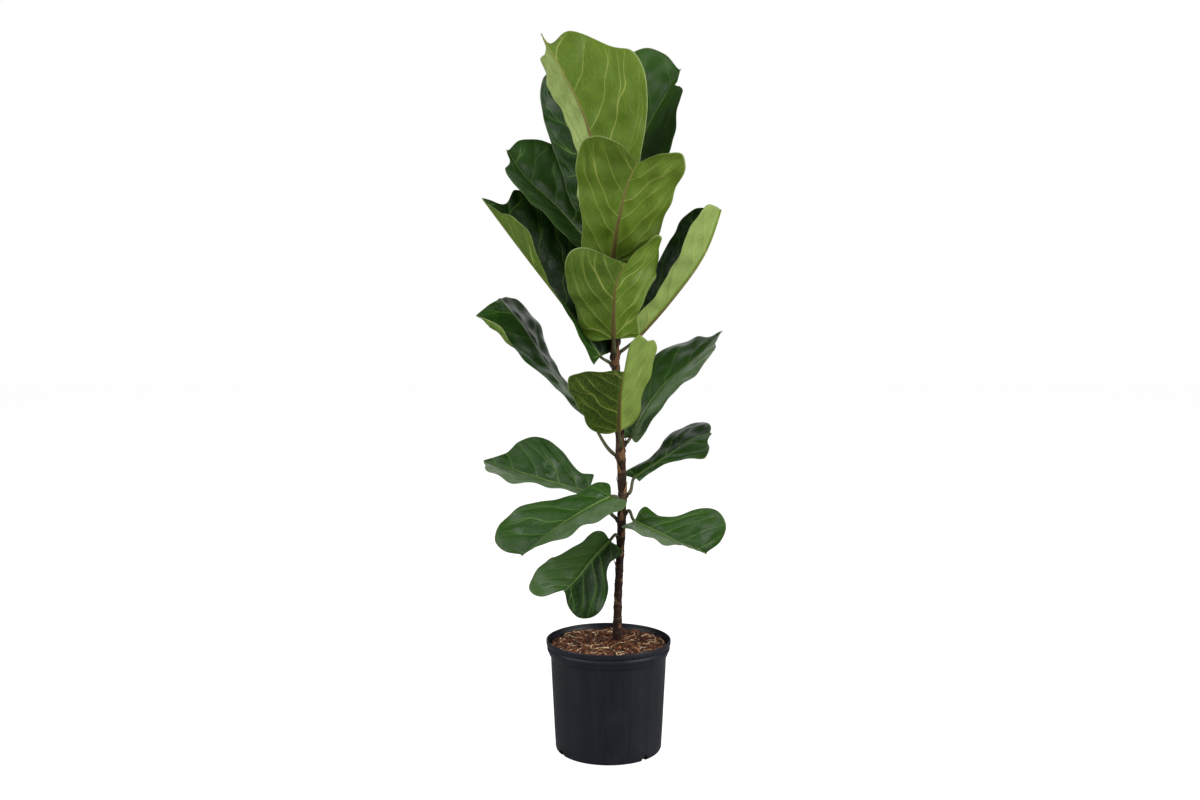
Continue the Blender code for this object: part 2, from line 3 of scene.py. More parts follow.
import bpy
import numpy as np
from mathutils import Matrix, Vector


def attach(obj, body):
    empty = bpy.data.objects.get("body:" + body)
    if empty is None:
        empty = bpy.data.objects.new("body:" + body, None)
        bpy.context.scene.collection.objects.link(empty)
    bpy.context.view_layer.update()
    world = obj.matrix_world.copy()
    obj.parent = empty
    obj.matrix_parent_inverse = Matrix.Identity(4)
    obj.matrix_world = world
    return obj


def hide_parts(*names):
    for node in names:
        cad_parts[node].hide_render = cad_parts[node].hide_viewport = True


# A potted fiddle leaf fig. Lengths in the dictionaries are millimetres and angles degrees.
# The front is -Y, and leaf azimuths turn from +X towards +Y.
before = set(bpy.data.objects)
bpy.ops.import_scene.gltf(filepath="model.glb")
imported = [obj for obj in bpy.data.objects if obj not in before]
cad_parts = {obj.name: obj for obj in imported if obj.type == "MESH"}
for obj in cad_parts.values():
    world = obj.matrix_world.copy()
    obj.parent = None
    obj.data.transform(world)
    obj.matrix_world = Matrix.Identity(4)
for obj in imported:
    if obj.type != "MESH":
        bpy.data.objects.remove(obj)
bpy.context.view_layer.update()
mm = 0.001
print("frame:", len(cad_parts), "solids")


def isSocket(value):
    return isinstance(value, bpy.types.NodeSocket)


# Sets a node's inputs by name or number: a socket is linked and a constant is stored.
def plug(node, inputs):
    for key, value in inputs.items():
        if isSocket(value):
            node.id_data.links.new(value, node.inputs[key])
        else:
            node.inputs[key].default_value = value


def addNode(tree, kind, inputs=None, **settings):
    made = tree.nodes.new(kind)
    for key, value in settings.items():
        setattr(made, key, value)
    plug(made, inputs or {})
    return made


# The helpers below work in the tree of the sockets that they are given.
def calc(operation, *values):
    tree = next(value for value in values if isSocket(value)).id_data
    return addNode(tree, "ShaderNodeMath", dict(enumerate(values)), operation=operation).outputs[0]


def times(value, factor, plus=None):
    if plus is None:
        return calc("MULTIPLY", value, factor)
    return calc("MULTIPLY_ADD", value, factor, plus)


def clamped(value):
    return calc("MINIMUM", calc("MAXIMUM", value, 0.0), 1.0)


def blendColor(amount, first, second):
    made = addNode(amount.id_data, "ShaderNodeMix", {0: amount}, data_type="RGBA")
    colorInputs = (6, 7)
    for place, color in zip(colorInputs, (first, second)):
        plug(made, {place: color if isSocket(color) else (*color, 1.0)})
    return made.outputs[2]


def fade(value, start, end, low=0.0, high=1.0):
    span = {"Value": value, "From Min": start, "From Max": end, "To Min": low, "To Max": high}
    return addNode(value.id_data, "ShaderNodeMapRange", span, interpolation_type="SMOOTHSTEP").outputs[0]


def startGroup(name, inputs, outputs):
    tree = bpy.data.node_groups.new(name, "ShaderNodeTree")
    for label, kind, value in inputs:
        socket = tree.interface.new_socket(name=label, in_out="INPUT", socket_type="NodeSocket" + kind)
        if value is not None:
            socket.default_value = value
    for label in outputs:
        tree.interface.new_socket(name=label, in_out="OUTPUT", socket_type="NodeSocketFloat")
    return tree, tree.nodes.new("NodeGroupInput").outputs, tree.nodes.new("NodeGroupOutput")


def placeGroup(tree, group, inputs):
    return addNode(tree, "ShaderNodeGroup", inputs, node_tree=group).outputs


def objectPlace(tree):
    return addNode(tree, "ShaderNodeTexCoord").outputs["Object"]


def fieldOf(tree, name):
    return addNode(tree, "ShaderNodeAttribute", attribute_name=name).outputs


def splitVector(vector):
    return addNode(vector.id_data, "ShaderNodeSeparateXYZ", {0: vector}).outputs


def joinVector(tree, x, y, z=0.0):
    return addNode(tree, "ShaderNodeCombineXYZ", {"X": x, "Y": y, "Z": z}).outputs[0]


def startMaterial(name, **constants):
    material = bpy.data.materials.new(name)
    material.use_nodes = True
    shader = material.node_tree.nodes["Principled BSDF"]
    plug(shader, {label.replace("_", " "): value for label, value in constants.items()})
    return material, material.node_tree, shader


def bumpFrom(height, strength, distance):
    inputs = {"Height": height, "Strength": strength, "Distance": distance}
    return addNode(height.id_data, "ShaderNodeBump", inputs).outputs["Normal"]


def dress(shader, color, roughness, normal):
    plug(shader, {"Base Color": color, "Roughness": roughness, "Normal": normal})


def showObject(name, data, place=(0.0, 0.0, 0.0)):
    made = bpy.data.objects.new(name, data)
    made.location = place
    bpy.context.scene.collection.objects.link(made)
    return made


# A smooth piece from points in millimetres. "fields" are values kept with its points.
def makeMesh(name, points, faces, materials, slots=None, fields=None):
    mesh = bpy.data.meshes.new(name)
    mesh.from_pydata((np.asarray(points) * mm).tolist(), [], [list(face) for face in faces])
    for material in materials:
        mesh.materials.append(material)
    if slots is not None:
        mesh.polygons.foreach_set("material_index", np.asarray(slots, np.int32))
    for label, values in (fields or {}).items():
        values = np.asarray(values, np.float32)
        kind, entry = ("FLOAT", "value") if values.ndim == 1 else ("FLOAT_COLOR", "color")
        mesh.attributes.new(label, kind, "POINT").data.foreach_set(entry, values.ravel())
    mesh.shade_smooth()
    mesh.update()
    return showObject(name, mesh)


def finishPiece(piece, slot, *nodes):
    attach(piece, "root")
    if nodes:
        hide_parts(*nodes)


# Quads between rings of equal corner count, row by row.
def ringQuads(rings, corners):
    row, column = np.meshgrid(np.arange(rings - 1), np.arange(corners), indexing="ij")
    first = row * corners + column
    second = row * corners + (column + 1) % corners
    return np.stack([first, second, second + corners, first + corners], -1).reshape(-1, 4)


# The faces of a closed tube through the rings, with flat ends. Rings that run the other way
# round their path need them turned over.
def tubeFaces(rings, corners, turnedOver=False):
    last = (rings - 1) * corners
    faces = ringQuads(rings, corners).tolist()
    faces += [list(range(corners))[::-1], list(range(last, last + corners))]
    return [face[:1] + face[:0:-1] for face in faces] if turnedOver else faces


def cornerAngles(count):
    return np.arange(count) * 2 * math.pi / count


# An oval of corners round a centre, in the plane of two directions.
def ovalRing(centre, turns, wide, first, tall, second):
    return centre + (wide * np.cos(turns))[:, None] * first + (tall * np.sin(turns))[:, None] * second


def unit(vectors):
    vectors = np.asarray(vectors, float)
    return vectors / np.linalg.norm(vectors, axis=-1, keepdims=True)


def smoothStep(value, start, end):
    t = np.clip((value - start) / (end - start), 0, 1)
    return t * t * (3 - 2 * t)


# Patchy tone at two scales, for anything that grew or was moulded.
def buildMottleGroup():
    tree, given, result = startGroup("mottle", [
        ("Place", "Vector", None), ("Broad Scale", "Float", 20.0),
        ("Fine Scale", "Float", 300.0), ("Contrast", "Float", 1.0),
    ], ["Broad", "Fine"])
    for label, detail in (("Broad", 3.0), ("Fine", 4.0)):
        noise = addNode(tree, "ShaderNodeTexNoise", {
            "Vector": given["Place"], "Detail": detail, "Scale": given[label + " Scale"],
            "Roughness": 0.6}).outputs[0]
        plug(result, {label: clamped(times(calc("SUBTRACT", noise, 0.5), given["Contrast"], 0.5))})
    return tree


mottle = buildMottleGroup()


def mottled(place, broadScale, fineScale, contrast=1.0):
    return placeGroup(place.id_data, mottle, {"Place": place, "Broad Scale": broadScale,
                                              "Fine Scale": fineScale, "Contrast": contrast})


white, black = (1.0, 1.0, 1.0), (0.0, 0.0, 0.0)
studio = {
    "cameraAt": (-0.0173, -2.41, 0.874), "tiltDown": 3.82, "lens": 36.06, "sensor": 36.0,
    "world": 0.08, "backdrop": 1.0,
    "floorColor": (0.42, 0.42, 0.42), "floorShade": 0.985, "floorGlow": 0.95,
    "floorReach": 14.0, "floorDrop": 0.0006,
    # name: place, aim, size, watts
    "lights": {
        "keySoftbox": ((-2.7, -1.3, 1.8), (0.0, 0.0, 0.8), 2.6, 83.0),
        "fillSoftbox": ((2.7, -1.4, 1.5), (0.0, 0.0, 0.8), 2.6, 104.0),
        "topSoftbox": ((-0.3, -2.4, 3.1), (0.0, 0.0, 0.8), 1.0, 22.0),
        "rearSoftbox": ((0.2, 2.7, 2.1), (0.0, 0.0, 0.7), 2.6, 22.0),
    },
}


def buildCamera(scene):
    camera = bpy.data.cameras.new("studioCamera")
    camera.sensor_width = studio["sensor"]
    camera.lens = studio["lens"]
    scene.camera = showObject("studioCamera", camera, studio["cameraAt"])
    scene.camera.rotation_euler = (math.radians(90.0 - studio["tiltDown"]), 0.0, 0.0)


def buildLights():
    for name, (place, aim, size, watts) in studio["lights"].items():
        light = bpy.data.lights.new(name, "AREA")
        light.shape = "SQUARE"
        light.size = size
        light.energy = watts
        lamp = showObject(name, light, place)
        lamp.rotation_euler = (Vector(aim) - Vector(place)).to_track_quat("-Z", "Y").to_euler()


# The camera sees a white room, and the object is lit by a much dimmer one.
def buildWorld(scene):
    world = bpy.data.worlds.new("paleRoom")
    scene.world = world
    world.use_nodes = True
    tree = world.node_tree
    glow = tree.nodes["Background"]
    plug(glow, {"Color": (*white, 1.0), "Strength": studio["world"]})
    seen = addNode(tree, "ShaderNodeBackground", {"Color": (*white, 1.0),
                                                  "Strength": studio["backdrop"]})
    toCamera = addNode(tree, "ShaderNodeLightPath").outputs["Is Camera Ray"]
    choice = addNode(tree, "ShaderNodeMixShader", {0: toCamera, 1: glow.outputs[0], 2: seen.outputs[0]})
    plug(tree.nodes["World Output"], {"Surface": choice.outputs[0]})


def buildFloor():
    reach = studio["floorReach"]
    mesh = bpy.data.meshes.new("studioFloor")
    mesh.from_pydata([(-reach, -reach, 0), (reach, -reach, 0), (reach, reach, 0), (-reach, reach, 0)],
                     [], [(0, 1, 2, 3)])
    material, tree, shader = startMaterial("floorPaper", Roughness=0.9)
    tones = mottled(objectPlace(tree), 1.5, 90.0)
    paper = studio["floorColor"]
    shaded = tuple(value * studio["floorShade"] for value in paper)
    toCamera = addNode(tree, "ShaderNodeLightPath").outputs["Is Camera Ray"]
    plug(shader, {"Base Color": blendColor(tones["Broad"], paper, shaded),
                  "Emission Color": blendColor(toCamera, black, white),
                  "Emission Strength": studio["floorGlow"]})
    mesh.materials.append(material)
    floor = showObject("studioFloor", mesh, (0.0, 0.0, -studio["floorDrop"]))


def buildStudio():
    scene = bpy.context.scene
    scene.view_settings.view_transform = "Standard"
    buildCamera(scene)
    buildLights()
    buildWorld(scene)
    buildFloor()


buildStudio()
print("studio: camera,", len(studio["lights"]), "softboxes and floor")


pot = {
    "height": 227.0, "rimRadius": 127.0, "baseRadius": 107.6, "wall": 2.0, "collar": 31.0,
    "sides": 168, "fluteCount": 84, "fluteDepth": 0.28, "oval": 0.175, "inset": 0.18,
    "drainFirst": 42.0, "drainPitch": 360.0 / 7, "drainCount": 6, "drainRadius": 7.5,
    "drainReach": 12.0, "drainTilt": 60.0, "drainInset": 2.0, "drainRise": 4.0, "drainSides": 28,
    "color": (0.0042, 0.0058, 0.0098), "streakColor": (0.0115, 0.014, 0.0235),
    "dust": (0.11, 0.1, 0.09), "creaseAngle": 38,
    # the profile's corners, as offsets from a radius and a height that potProfile names
    "floorInside": ((-40, 0), (-38, 0.5), (-20, 0.5), (-9, 0), (-4.5, 1.6), (-2.6, 5.0)),
    "ledgeInside": ((-8.4, 0.8), (-7.4, 3)),
    "lip": ((-6.8, -19), (-6.4, -15), (-5.4, -11), (-3.8, -8.5), (-3.1, -5), (-3.0, -1.4),
            (-2.7, -0.5), (-2.1, -0.1), (-1.5, 0), (-0.8, -0.3), (-0.2, -1.0), (0, -2.0),
            (-0.2, -5.5), (-0.6, -9.0), (-1.0, -10.2), (-1.8, -11.0), (-2.8, -11.5),
            (-3.3, -12.3), (-3.3, -13.2), (-2.7, -14.2), (-2.0, -15.0), (-1.8, -16.2),
            (-2.0, -19.0), (-2.5, -21.0), (-3.3, -22.0), (-4.3, -22.6), (-4.9, -23.4),
            (-5.3, -26.0), (-5.9, -29.0)),
    "ledgeOutside": ((-6.6, 0.7), (-7.8, -0.4), (-8.8, -0.9), (-9.2, -2.0)),
    "footOutside": ((0.3, 6.4), (-0.5, 4.2), (-2.0, 2.2), (-4.2, 0.8), (-7.0, 0.1), (-8.5, 0),
                    (-22, 0), (-23, 0.9), (-34, 0.9), (-35, 0)),
    "hub": ((18.0, 0), (17.0, 0.8), (0.05, 0.8)),
}


# Wear and dust for moulded or rough outer surfaces: grey film in patches, and fine scratches.
def buildWearGroup():
    tree, given, result = startGroup("handlingWear", [
        ("Place", "Vector", None), ("Dust Amount", "Float", 0.2), ("Scratch Amount", "Float", 0.3),
    ], ["Dust", "Scratches"])
    cloud = addNode(tree, "ShaderNodeTexNoise", {"Vector": given["Place"], "Scale": 16.0,
                                                 "Detail": 5.0, "Roughness": 0.65})
    stretched = addNode(tree, "ShaderNodeMapping", {
        "Vector": given["Place"], "Rotation": (0.3, 0.5, 0.9), "Scale": (260.0, 18.0, 90.0)})
    lines = addNode(tree, "ShaderNodeTexNoise", {"Vector": stretched.outputs[0], "Scale": 1.0,
                                                 "Detail": 2.0})
    plug(result, {"Dust": times(fade(cloud.outputs[0], 0.45, 0.8), given["Dust Amount"]),
                  "Scratches": times(fade(lines.outputs[0], 0.66, 0.74), given["Scratch Amount"])})
    return tree


wear = buildWearGroup()


# Black plastic with faint upright streaks, which are laid on a cylinder round the pot.
def potMaterial():
    material, tree, shader = startMaterial("potPlastic", Roughness=0.42, Specular_IOR_Level=0.26)
    place = objectPlace(tree)
    at = splitVector(place)
    turn = calc("ARCTAN2", at["Y"], at["X"])
    streakRadius, streakRise = 9.0, 1.6
    wrapped = joinVector(tree, times(calc("SINE", turn), streakRadius),
                         times(calc("COSINE", turn), streakRadius), times(at["Z"], streakRise))
    streaks = mottled(wrapped, 1.1, 6.0, 1.3)
    worn = placeGroup(tree, wear, {"Place": place, "Dust Amount": 0.1, "Scratch Amount": 0.22})
    tint = times(streaks["Fine"], 0.6, times(streaks["Broad"], 0.4))
    color = blendColor(fade(tint, 0.25, 0.8), pot["color"], pot["streakColor"])
    nearFoot = fade(at["Z"], 0.06, 0.0, 0.0, 0.5)
    color = blendColor(times(worn["Dust"], calc("ADD", nearFoot, 0.6)), color, pot["dust"])
    rough = calc("ADD", times(tint, 0.2, 0.33), times(worn["Dust"], 1.2))
    rough = calc("ADD", rough, times(worn["Scratches"], 0.5))
    height = times(mottled(place, 60.0, 900.0)["Fine"], 0.12, times(streaks["Fine"], 0.8))
    height = calc("SUBTRACT", height, times(worn["Scratches"], 0.4))
    dress(shader, color, rough, bumpFrom(height, 0.5, 0.0006))
    return material


# The pot's outline from the middle of the inside, over the lip and down to the middle below.
def potProfile():
    top, rim, base, wall = pot["height"], pot["rimRadius"], pot["baseRadius"], pot["wall"]
    ledge = top - pot["collar"]

    def offset(corners, radius, height):
        return [(radius + out, height + up) for out, up in corners]

    def straight(first, last, shares):
        first, last = np.array(first), np.array(last)
        return [tuple(first + (last - first) * share) for share in shares]

    return np.array(
        [(0.05, wall)] + offset(pot["floorInside"], base, wall)
        + straight((base - 2.2, 7), (rim - 11.2, ledge - 1), np.linspace(0.06, 1.0, 16))
        + offset(pot["ledgeInside"], rim, ledge) + offset(pot["lip"], rim, top)
        + offset(pot["ledgeOutside"], rim, ledge)
        + straight((rim - 9.2, ledge - 2), (base + 0.6, 9), np.linspace(0.04, 1.0, 24))
        + offset(pot["footOutside"], base, 0) + list(pot["hub"]))


# Turns a profile of radius and height, which runs over the top and down the outside.
def turnShape(profile, sides):
    radius, height = profile[:, :1], profile[:, 1:]
    angles = cornerAngles(sides)
    points = np.stack([radius * np.cos(angles), radius * np.sin(angles), height + 0 * angles], -1)
    return points.reshape(-1, 3), tubeFaces(len(profile), sides, turnedOver=True)


def drainCutter(hole):
    turn = math.radians(pot["drainFirst"] + hole * pot["drainPitch"] - 90)
    reach, radius = pot["drainReach"], pot["drainRadius"]
    profile = np.array([(0.01, reach), (radius, reach), (radius, -reach), (0.01, -reach)])
    cutter = makeMesh(f"drainCutter{hole}", *turnShape(profile, pot["drainSides"]), [])
    out = pot["baseRadius"] - pot["drainInset"]
    cutter.location = (out * mm * math.cos(turn), out * mm * math.sin(turn), pot["drainRise"] * mm)
    cutter.rotation_euler = (0, math.radians(pot["drainTilt"]), turn)
    return cutter


# Faint flutes on the outside of the wall, and a slightly oval plan.
def flutePot(points):
    radius = np.hypot(points[:, 0], points[:, 1])
    turn = np.arctan2(points[:, 1], points[:, 0])
    outside = radius > pot["baseRadius"] - 1 + (points[:, 2] - 7) * 0.047
    wallBand = smoothStep(points[:, 2], 12, 40) * (1 - smoothStep(points[:, 2], 165, 190))
    flute = np.where(outside, wallBand, 0) * pot["fluteDepth"] * np.cos(pot["fluteCount"] * turn)
    oval = pot["oval"] * np.sin(2 * turn + 0.6) * smoothStep(points[:, 2], 40, 220)
    inwards = flute + 0.5 * pot["fluteDepth"] * (flute != 0) + oval + pot["inset"]
    points[:, :2] *= (1 - inwards / np.maximum(radius, 1.0))[:, None]


def buildPot():
    points, faces = turnShape(potProfile(), pot["sides"])
    flutePot(points)
    piece = makeMesh("potShell", points, faces, [potMaterial()])
    cutters = [drainCutter(hole) for hole in range(pot["drainCount"])]
    for cutter in cutters:
        modifier = piece.modifiers.new(cutter.name, "BOOLEAN")
        modifier.operation = "DIFFERENCE"
        modifier.object = cutter
    bpy.context.view_layer.update()
    shown = piece.evaluated_get(bpy.context.evaluated_depsgraph_get())
    mesh = bpy.data.meshes.new_from_object(shown)
    piece.modifiers.clear()
    piece.data = mesh
    mesh.shade_smooth()
    mesh.set_sharp_from_angle(angle=math.radians(pot["creaseAngle"]))
    for cutter in cutters:
        bpy.data.objects.remove(cutter)
    finishPiece(piece, "pot_plastic", "pot")
    return len(mesh.polygons)


print("pot:", buildPot(), "faces")


mix = {
    "top": 213.0, "wallRadius": 117.6, "stemAt": (17.0, 0.0), "seed": 11,
    "mound": 7.0, "moundReach": 30.0, "rings": 46, "sides": 150,
    "chipCount": 4600, "chipCrease": 35, "chipGap": 0.6, "fibreGap": 1.6,
    "fibreCount": 2300, "fibreJoints": 7, "fibreSides": 4, "paleShare": 0.07,
    # x, y, length, width, turn of the large pale chips
    "paleChips": ((-28, 28, 17, 8, 70), (-80, -8, 15, 7, 10), (-12, -40, 30, 4, 28),
                  (38, -40, 12, 5, 100), (-45, -18, 19, 3, 5), (76, 58, 24, 3, 60),
                  (-66, 88, 20, 3, 120), (92, 20, 16, 4, 15), (-98, 34, 14, 5, 80),
                  (48, 84, 18, 4, 150), (4, 92, 13, 6, 40), (60, -74, 15, 3, 165)),
    # the thickness, tone, lift, tilt and roll that they share
    "paleLook": (1.6, 0.98, 3.6, 0.08, 0.25), "darkTone": 0.84,
    # the body under the loose pieces: how far it lies below them, and its lumps. Its sides carry painted
    # shade where it meets the wall.
    "bodyDrop": 0.8, "lumpSize": 0.5, "wallGap": 3.2, "paintedWallShade": 0.1,
    # tone: colour
    "shades": {0.0: (0.018, 0.009, 0.007), 0.28: (0.105, 0.036, 0.019), 0.52: (0.26, 0.099, 0.041),
               0.74: (0.43, 0.2, 0.09), 0.9: (0.62, 0.4, 0.22), 1.0: (0.86, 0.68, 0.45)},
}


def mixMaterial():
    material, tree, shader = startMaterial("barkMix", Roughness=0.85, Specular_IOR_Level=0.3)
    spots = mottled(objectPlace(tree), 160.0, 900.0)
    shade = times(calc("SUBTRACT", spots["Broad"], 0.5), 0.22, fieldOf(tree, "tone")["Fac"])
    ramp = addNode(tree, "ShaderNodeValToRGB", {0: shade})
    stops = ramp.color_ramp.elements
    while len(stops) < len(mix["shades"]):
        stops.new(0.5)
    for stop, (tone, color) in zip(stops, mix["shades"].items()):
        stop.position = tone
        stop.color = (*color, 1.0)
    dress(shader, ramp.outputs[0], fade(spots["Fine"], 0.3, 0.8, 0.68, 0.95),
          bumpFrom(spots["Fine"], 0.6, 0.0008))
    return material


# The mix's top: a mound round the stem, broad swells and small ripples.
def mixHeight(x, y):
    away = np.hypot(x - mix["stemAt"][0], y - mix["stemAt"][1])
    mound = mix["mound"] * np.exp(-(away / mix["moundReach"]) ** 2)
    swell = 2.0 * np.sin(0.045 * x + 0.6) * np.cos(0.05 * y - 0.4)
    ripple = 0.9 * np.sin(0.21 * x + 1.3) * np.sin(0.19 * y + 0.4) + 0.6 * np.sin(0.4 * x - 0.33 * y)
    return mix["top"] + mound + swell + ripple


def spun(first, second, angle):
    c, s = np.cos(angle)[:, None], np.sin(angle)[:, None]
    return first * c - second * s, first * s + second * c


def turned(vectors, turn, tilt, roll):
    x, y, z = vectors[..., 0], vectors[..., 1], vectors[..., 2]
    y, z = spun(y, z, roll)
    x, z = spun(x, z, -tilt)
    return np.stack([*spun(x, y, turn), z], -1)


# Draws in the points that lie outside the given radius.
def keepWithin(points, limit):
    radius = np.hypot(points[..., 0], points[..., 1])
    points[..., :2] *= np.minimum(1, limit / np.maximum(radius, 1))[..., None]


# Places over the disc, with long pieces near the wall laid along it.
def scatterPlaces(draw, count, lengths, margin):
    radius = (mix["wallRadius"] - margin) * np.sqrt(draw.uniform(0.0, 1.0, count))
    angle = draw.uniform(0, 2 * math.pi, count)
    x, y = radius * np.cos(angle), radius * np.sin(angle)
    turn = draw.uniform(0, 2 * math.pi, count)
    near = radius + lengths * 0.5 > mix["wallRadius"] - margin
    turn = np.where(near, angle + math.pi / 2 + draw.normal(0, 0.12, count), turn)
    room = np.sqrt(np.maximum(mix["wallRadius"] ** 2 - (lengths * 0.5) ** 2, 1)) - 1.5
    pull = np.where(near, np.minimum(1, room / np.maximum(radius, 1)), 1)
    return x * pull, y * pull, turn


def buildChips(material):
    draw = np.random.default_rng(mix["seed"])
    count = mix["chipCount"]
    length = np.clip(draw.lognormal(2.1, 0.42, count), 4, 24)
    width = length * draw.uniform(0.22, 0.6, count)
    thick = np.clip(draw.normal(1.6, 0.6, count), 0.6, 3.4)
    x, y, turn = scatterPlaces(draw, count, length, 2.0)
    tone = np.clip(draw.beta(1.3, 2.8, count), 0, 1) * mix["darkTone"]
    tilt, roll = draw.normal(0, 0.34, count), draw.normal(0, 0.5, count)
    lift = draw.uniform(-2.5, 3.2, count)
    pale = np.array(mix["paleChips"], float)
    some = len(pale)
    x[-some:], y[-some:], length[-some:], width[-some:] = pale[:, :4].T
    turn[-some:] = np.radians(pale[:, 4])
    thick[-some:], tone[-some:], lift[-some:], tilt[-some:], roll[-some:] = mix["paleLook"]
    block = np.array([(x, y, z) for z in (-1, 1) for x, y in ((-1, -1), (1, -1), (1, 1), (-1, 1))]) / 2
    shape = block * (1 + draw.uniform(-0.38, 0.3, (count, 8, 3)))
    leftEnd, rightEnd = (0, 4, 3, 7), (1, 5, 2, 6)
    shape[:, leftEnd, 1] *= draw.uniform(0.15, 1.0, count)[:, None]
    shape[:, rightEnd, 1] *= draw.uniform(0.35, 1.1, count)[:, None]
    shape *= np.stack([length, width, thick], -1)[:, None, :]
    points = turned(shape, turn, tilt, roll)
    points += np.stack([x, y, mixHeight(x, y) + lift], -1)[:, None]
    keepWithin(points, mix["wallRadius"] - mix["chipGap"])
    sides = np.array([(0, 3, 2, 1), (4, 5, 6, 7), (0, 1, 5, 4), (1, 2, 6, 5), (2, 3, 7, 6), (3, 0, 4, 7)])
    faces = (sides[None] + 8 * np.arange(count)[:, None, None]).reshape(-1, 4)
    grain = np.repeat(tone, 8) + draw.normal(0, 0.035, count * 8)
    piece = makeMesh("barkChips", points.reshape(-1, 3), faces.tolist(), [material],
                     fields={"tone": grain})
    piece.data.set_sharp_from_angle(angle=math.radians(mix["chipCrease"]))
    finishPiece(piece, "bark_mix")


def buildFibres(material):
    draw = np.random.default_rng(mix["seed"] + 1)
    count, joints, around = mix["fibreCount"], mix["fibreJoints"], mix["fibreSides"]
    length = np.clip(draw.lognormal(2.9, 0.5, count), 8, 62)
    x, y, turn = scatterPlaces(draw, count, length, 4.0)
    bend = draw.normal(0, 1.1, count)
    pale = draw.random(count) < mix["paleShare"]
    step = np.linspace(-0.5, 0.5, joints)
    angle = turn[:, None] + bend[:, None] * step
    move = np.stack([np.cos(angle), np.sin(angle)], -1) * (length / (joints - 1))[:, None, None]
    path = np.cumsum(move, 1)
    path += np.stack([x, y], -1)[:, None] - path.mean(1, keepdims=True)
    keepWithin(path, mix["wallRadius"] - mix["fibreGap"])
    rise = draw.normal(0, 1.6, count)[:, None] * step
    rise = rise + (draw.uniform(0.8, 4.2, count) + 1.2 * pale)[:, None]
    rise = rise - draw.uniform(0, 7, count)[:, None] * step**2
    centre = np.dstack([path, mixHeight(path[..., 0], path[..., 1]) + rise])
    onward = unit(np.gradient(centre, axis=1))
    sideways = unit(np.cross(onward, (0, 0, 1.0)))
    upward = np.cross(sideways, onward)
    thick = (draw.uniform(0.28, 0.95, count) + 0.35 * pale)[:, None] * (1 - 1.4 * step**2)
    flat = draw.uniform(0.35, 1.0, count)[:, None, None, None]
    spin = cornerAngles(around)[:, None]
    points = centre[:, :, None] + thick[..., None, None] * (
        np.cos(spin) * sideways[:, :, None] + flat * np.sin(spin) * upward[:, :, None])
    faces = np.array(tubeFaces(joints, around, turnedOver=True))
    every = faces[None] + joints * around * np.arange(count)[:, None, None]
    tone = np.where(pale, draw.uniform(0.84, 1.0, count), draw.uniform(0.08, 0.62, count))
    piece = makeMesh("barkFibres", points.reshape(-1, 3), every.reshape(-1, around).tolist(),
                     [material], fields={"tone": np.repeat(tone, joints * around)})
    finishPiece(piece, "bark_mix")


# The mix below its loose top, with painted shade where it meets the wall.
def buildMixBody(material):
    wall, top, reach = pot["baseRadius"] - mix["wallGap"], mix["top"], mix["wallRadius"]
    rings = [(max(0.05, reach * share), top) for share in np.linspace(0, 1, mix["rings"])]
    profile = np.array(rings + [(reach - 0.4, top - 12), (reach - 2.2, 194), (wall, 9), (wall - 3, 5),
                                (wall - 7, 2.6), (0.05, 2.6)])
    points, faces = turnShape(profile, mix["sides"])
    draw = np.random.default_rng(mix["seed"] + 2)
    onTop = np.arange(len(points)) < mix["rings"] * mix["sides"]
    lumps = draw.normal(0, mix["lumpSize"], len(points)) - mix["bodyDrop"]
    points[:, 2] += np.where(onTop, mixHeight(points[:, 0], points[:, 1]) - top + lumps, 0)
    tone = np.clip(draw.normal(0.22, 0.12, len(points)), 0, 0.6)
    # Painted shade: the sides' tone is cut down where the mix meets the wall.
    tone = tone * np.where(onTop, 1, mix["paintedWallShade"])
    piece = makeMesh("mixBody", points, faces, [material], fields={"tone": tone})
    finishPiece(piece, "bark_mix", "potting_mix")


def buildMix():
    material = mixMaterial()
    buildMixBody(material)
    buildChips(material)
    buildFibres(material)


buildMix()
print("potting mix:", mix["chipCount"], "chips and", mix["fibreCount"], "fibres")

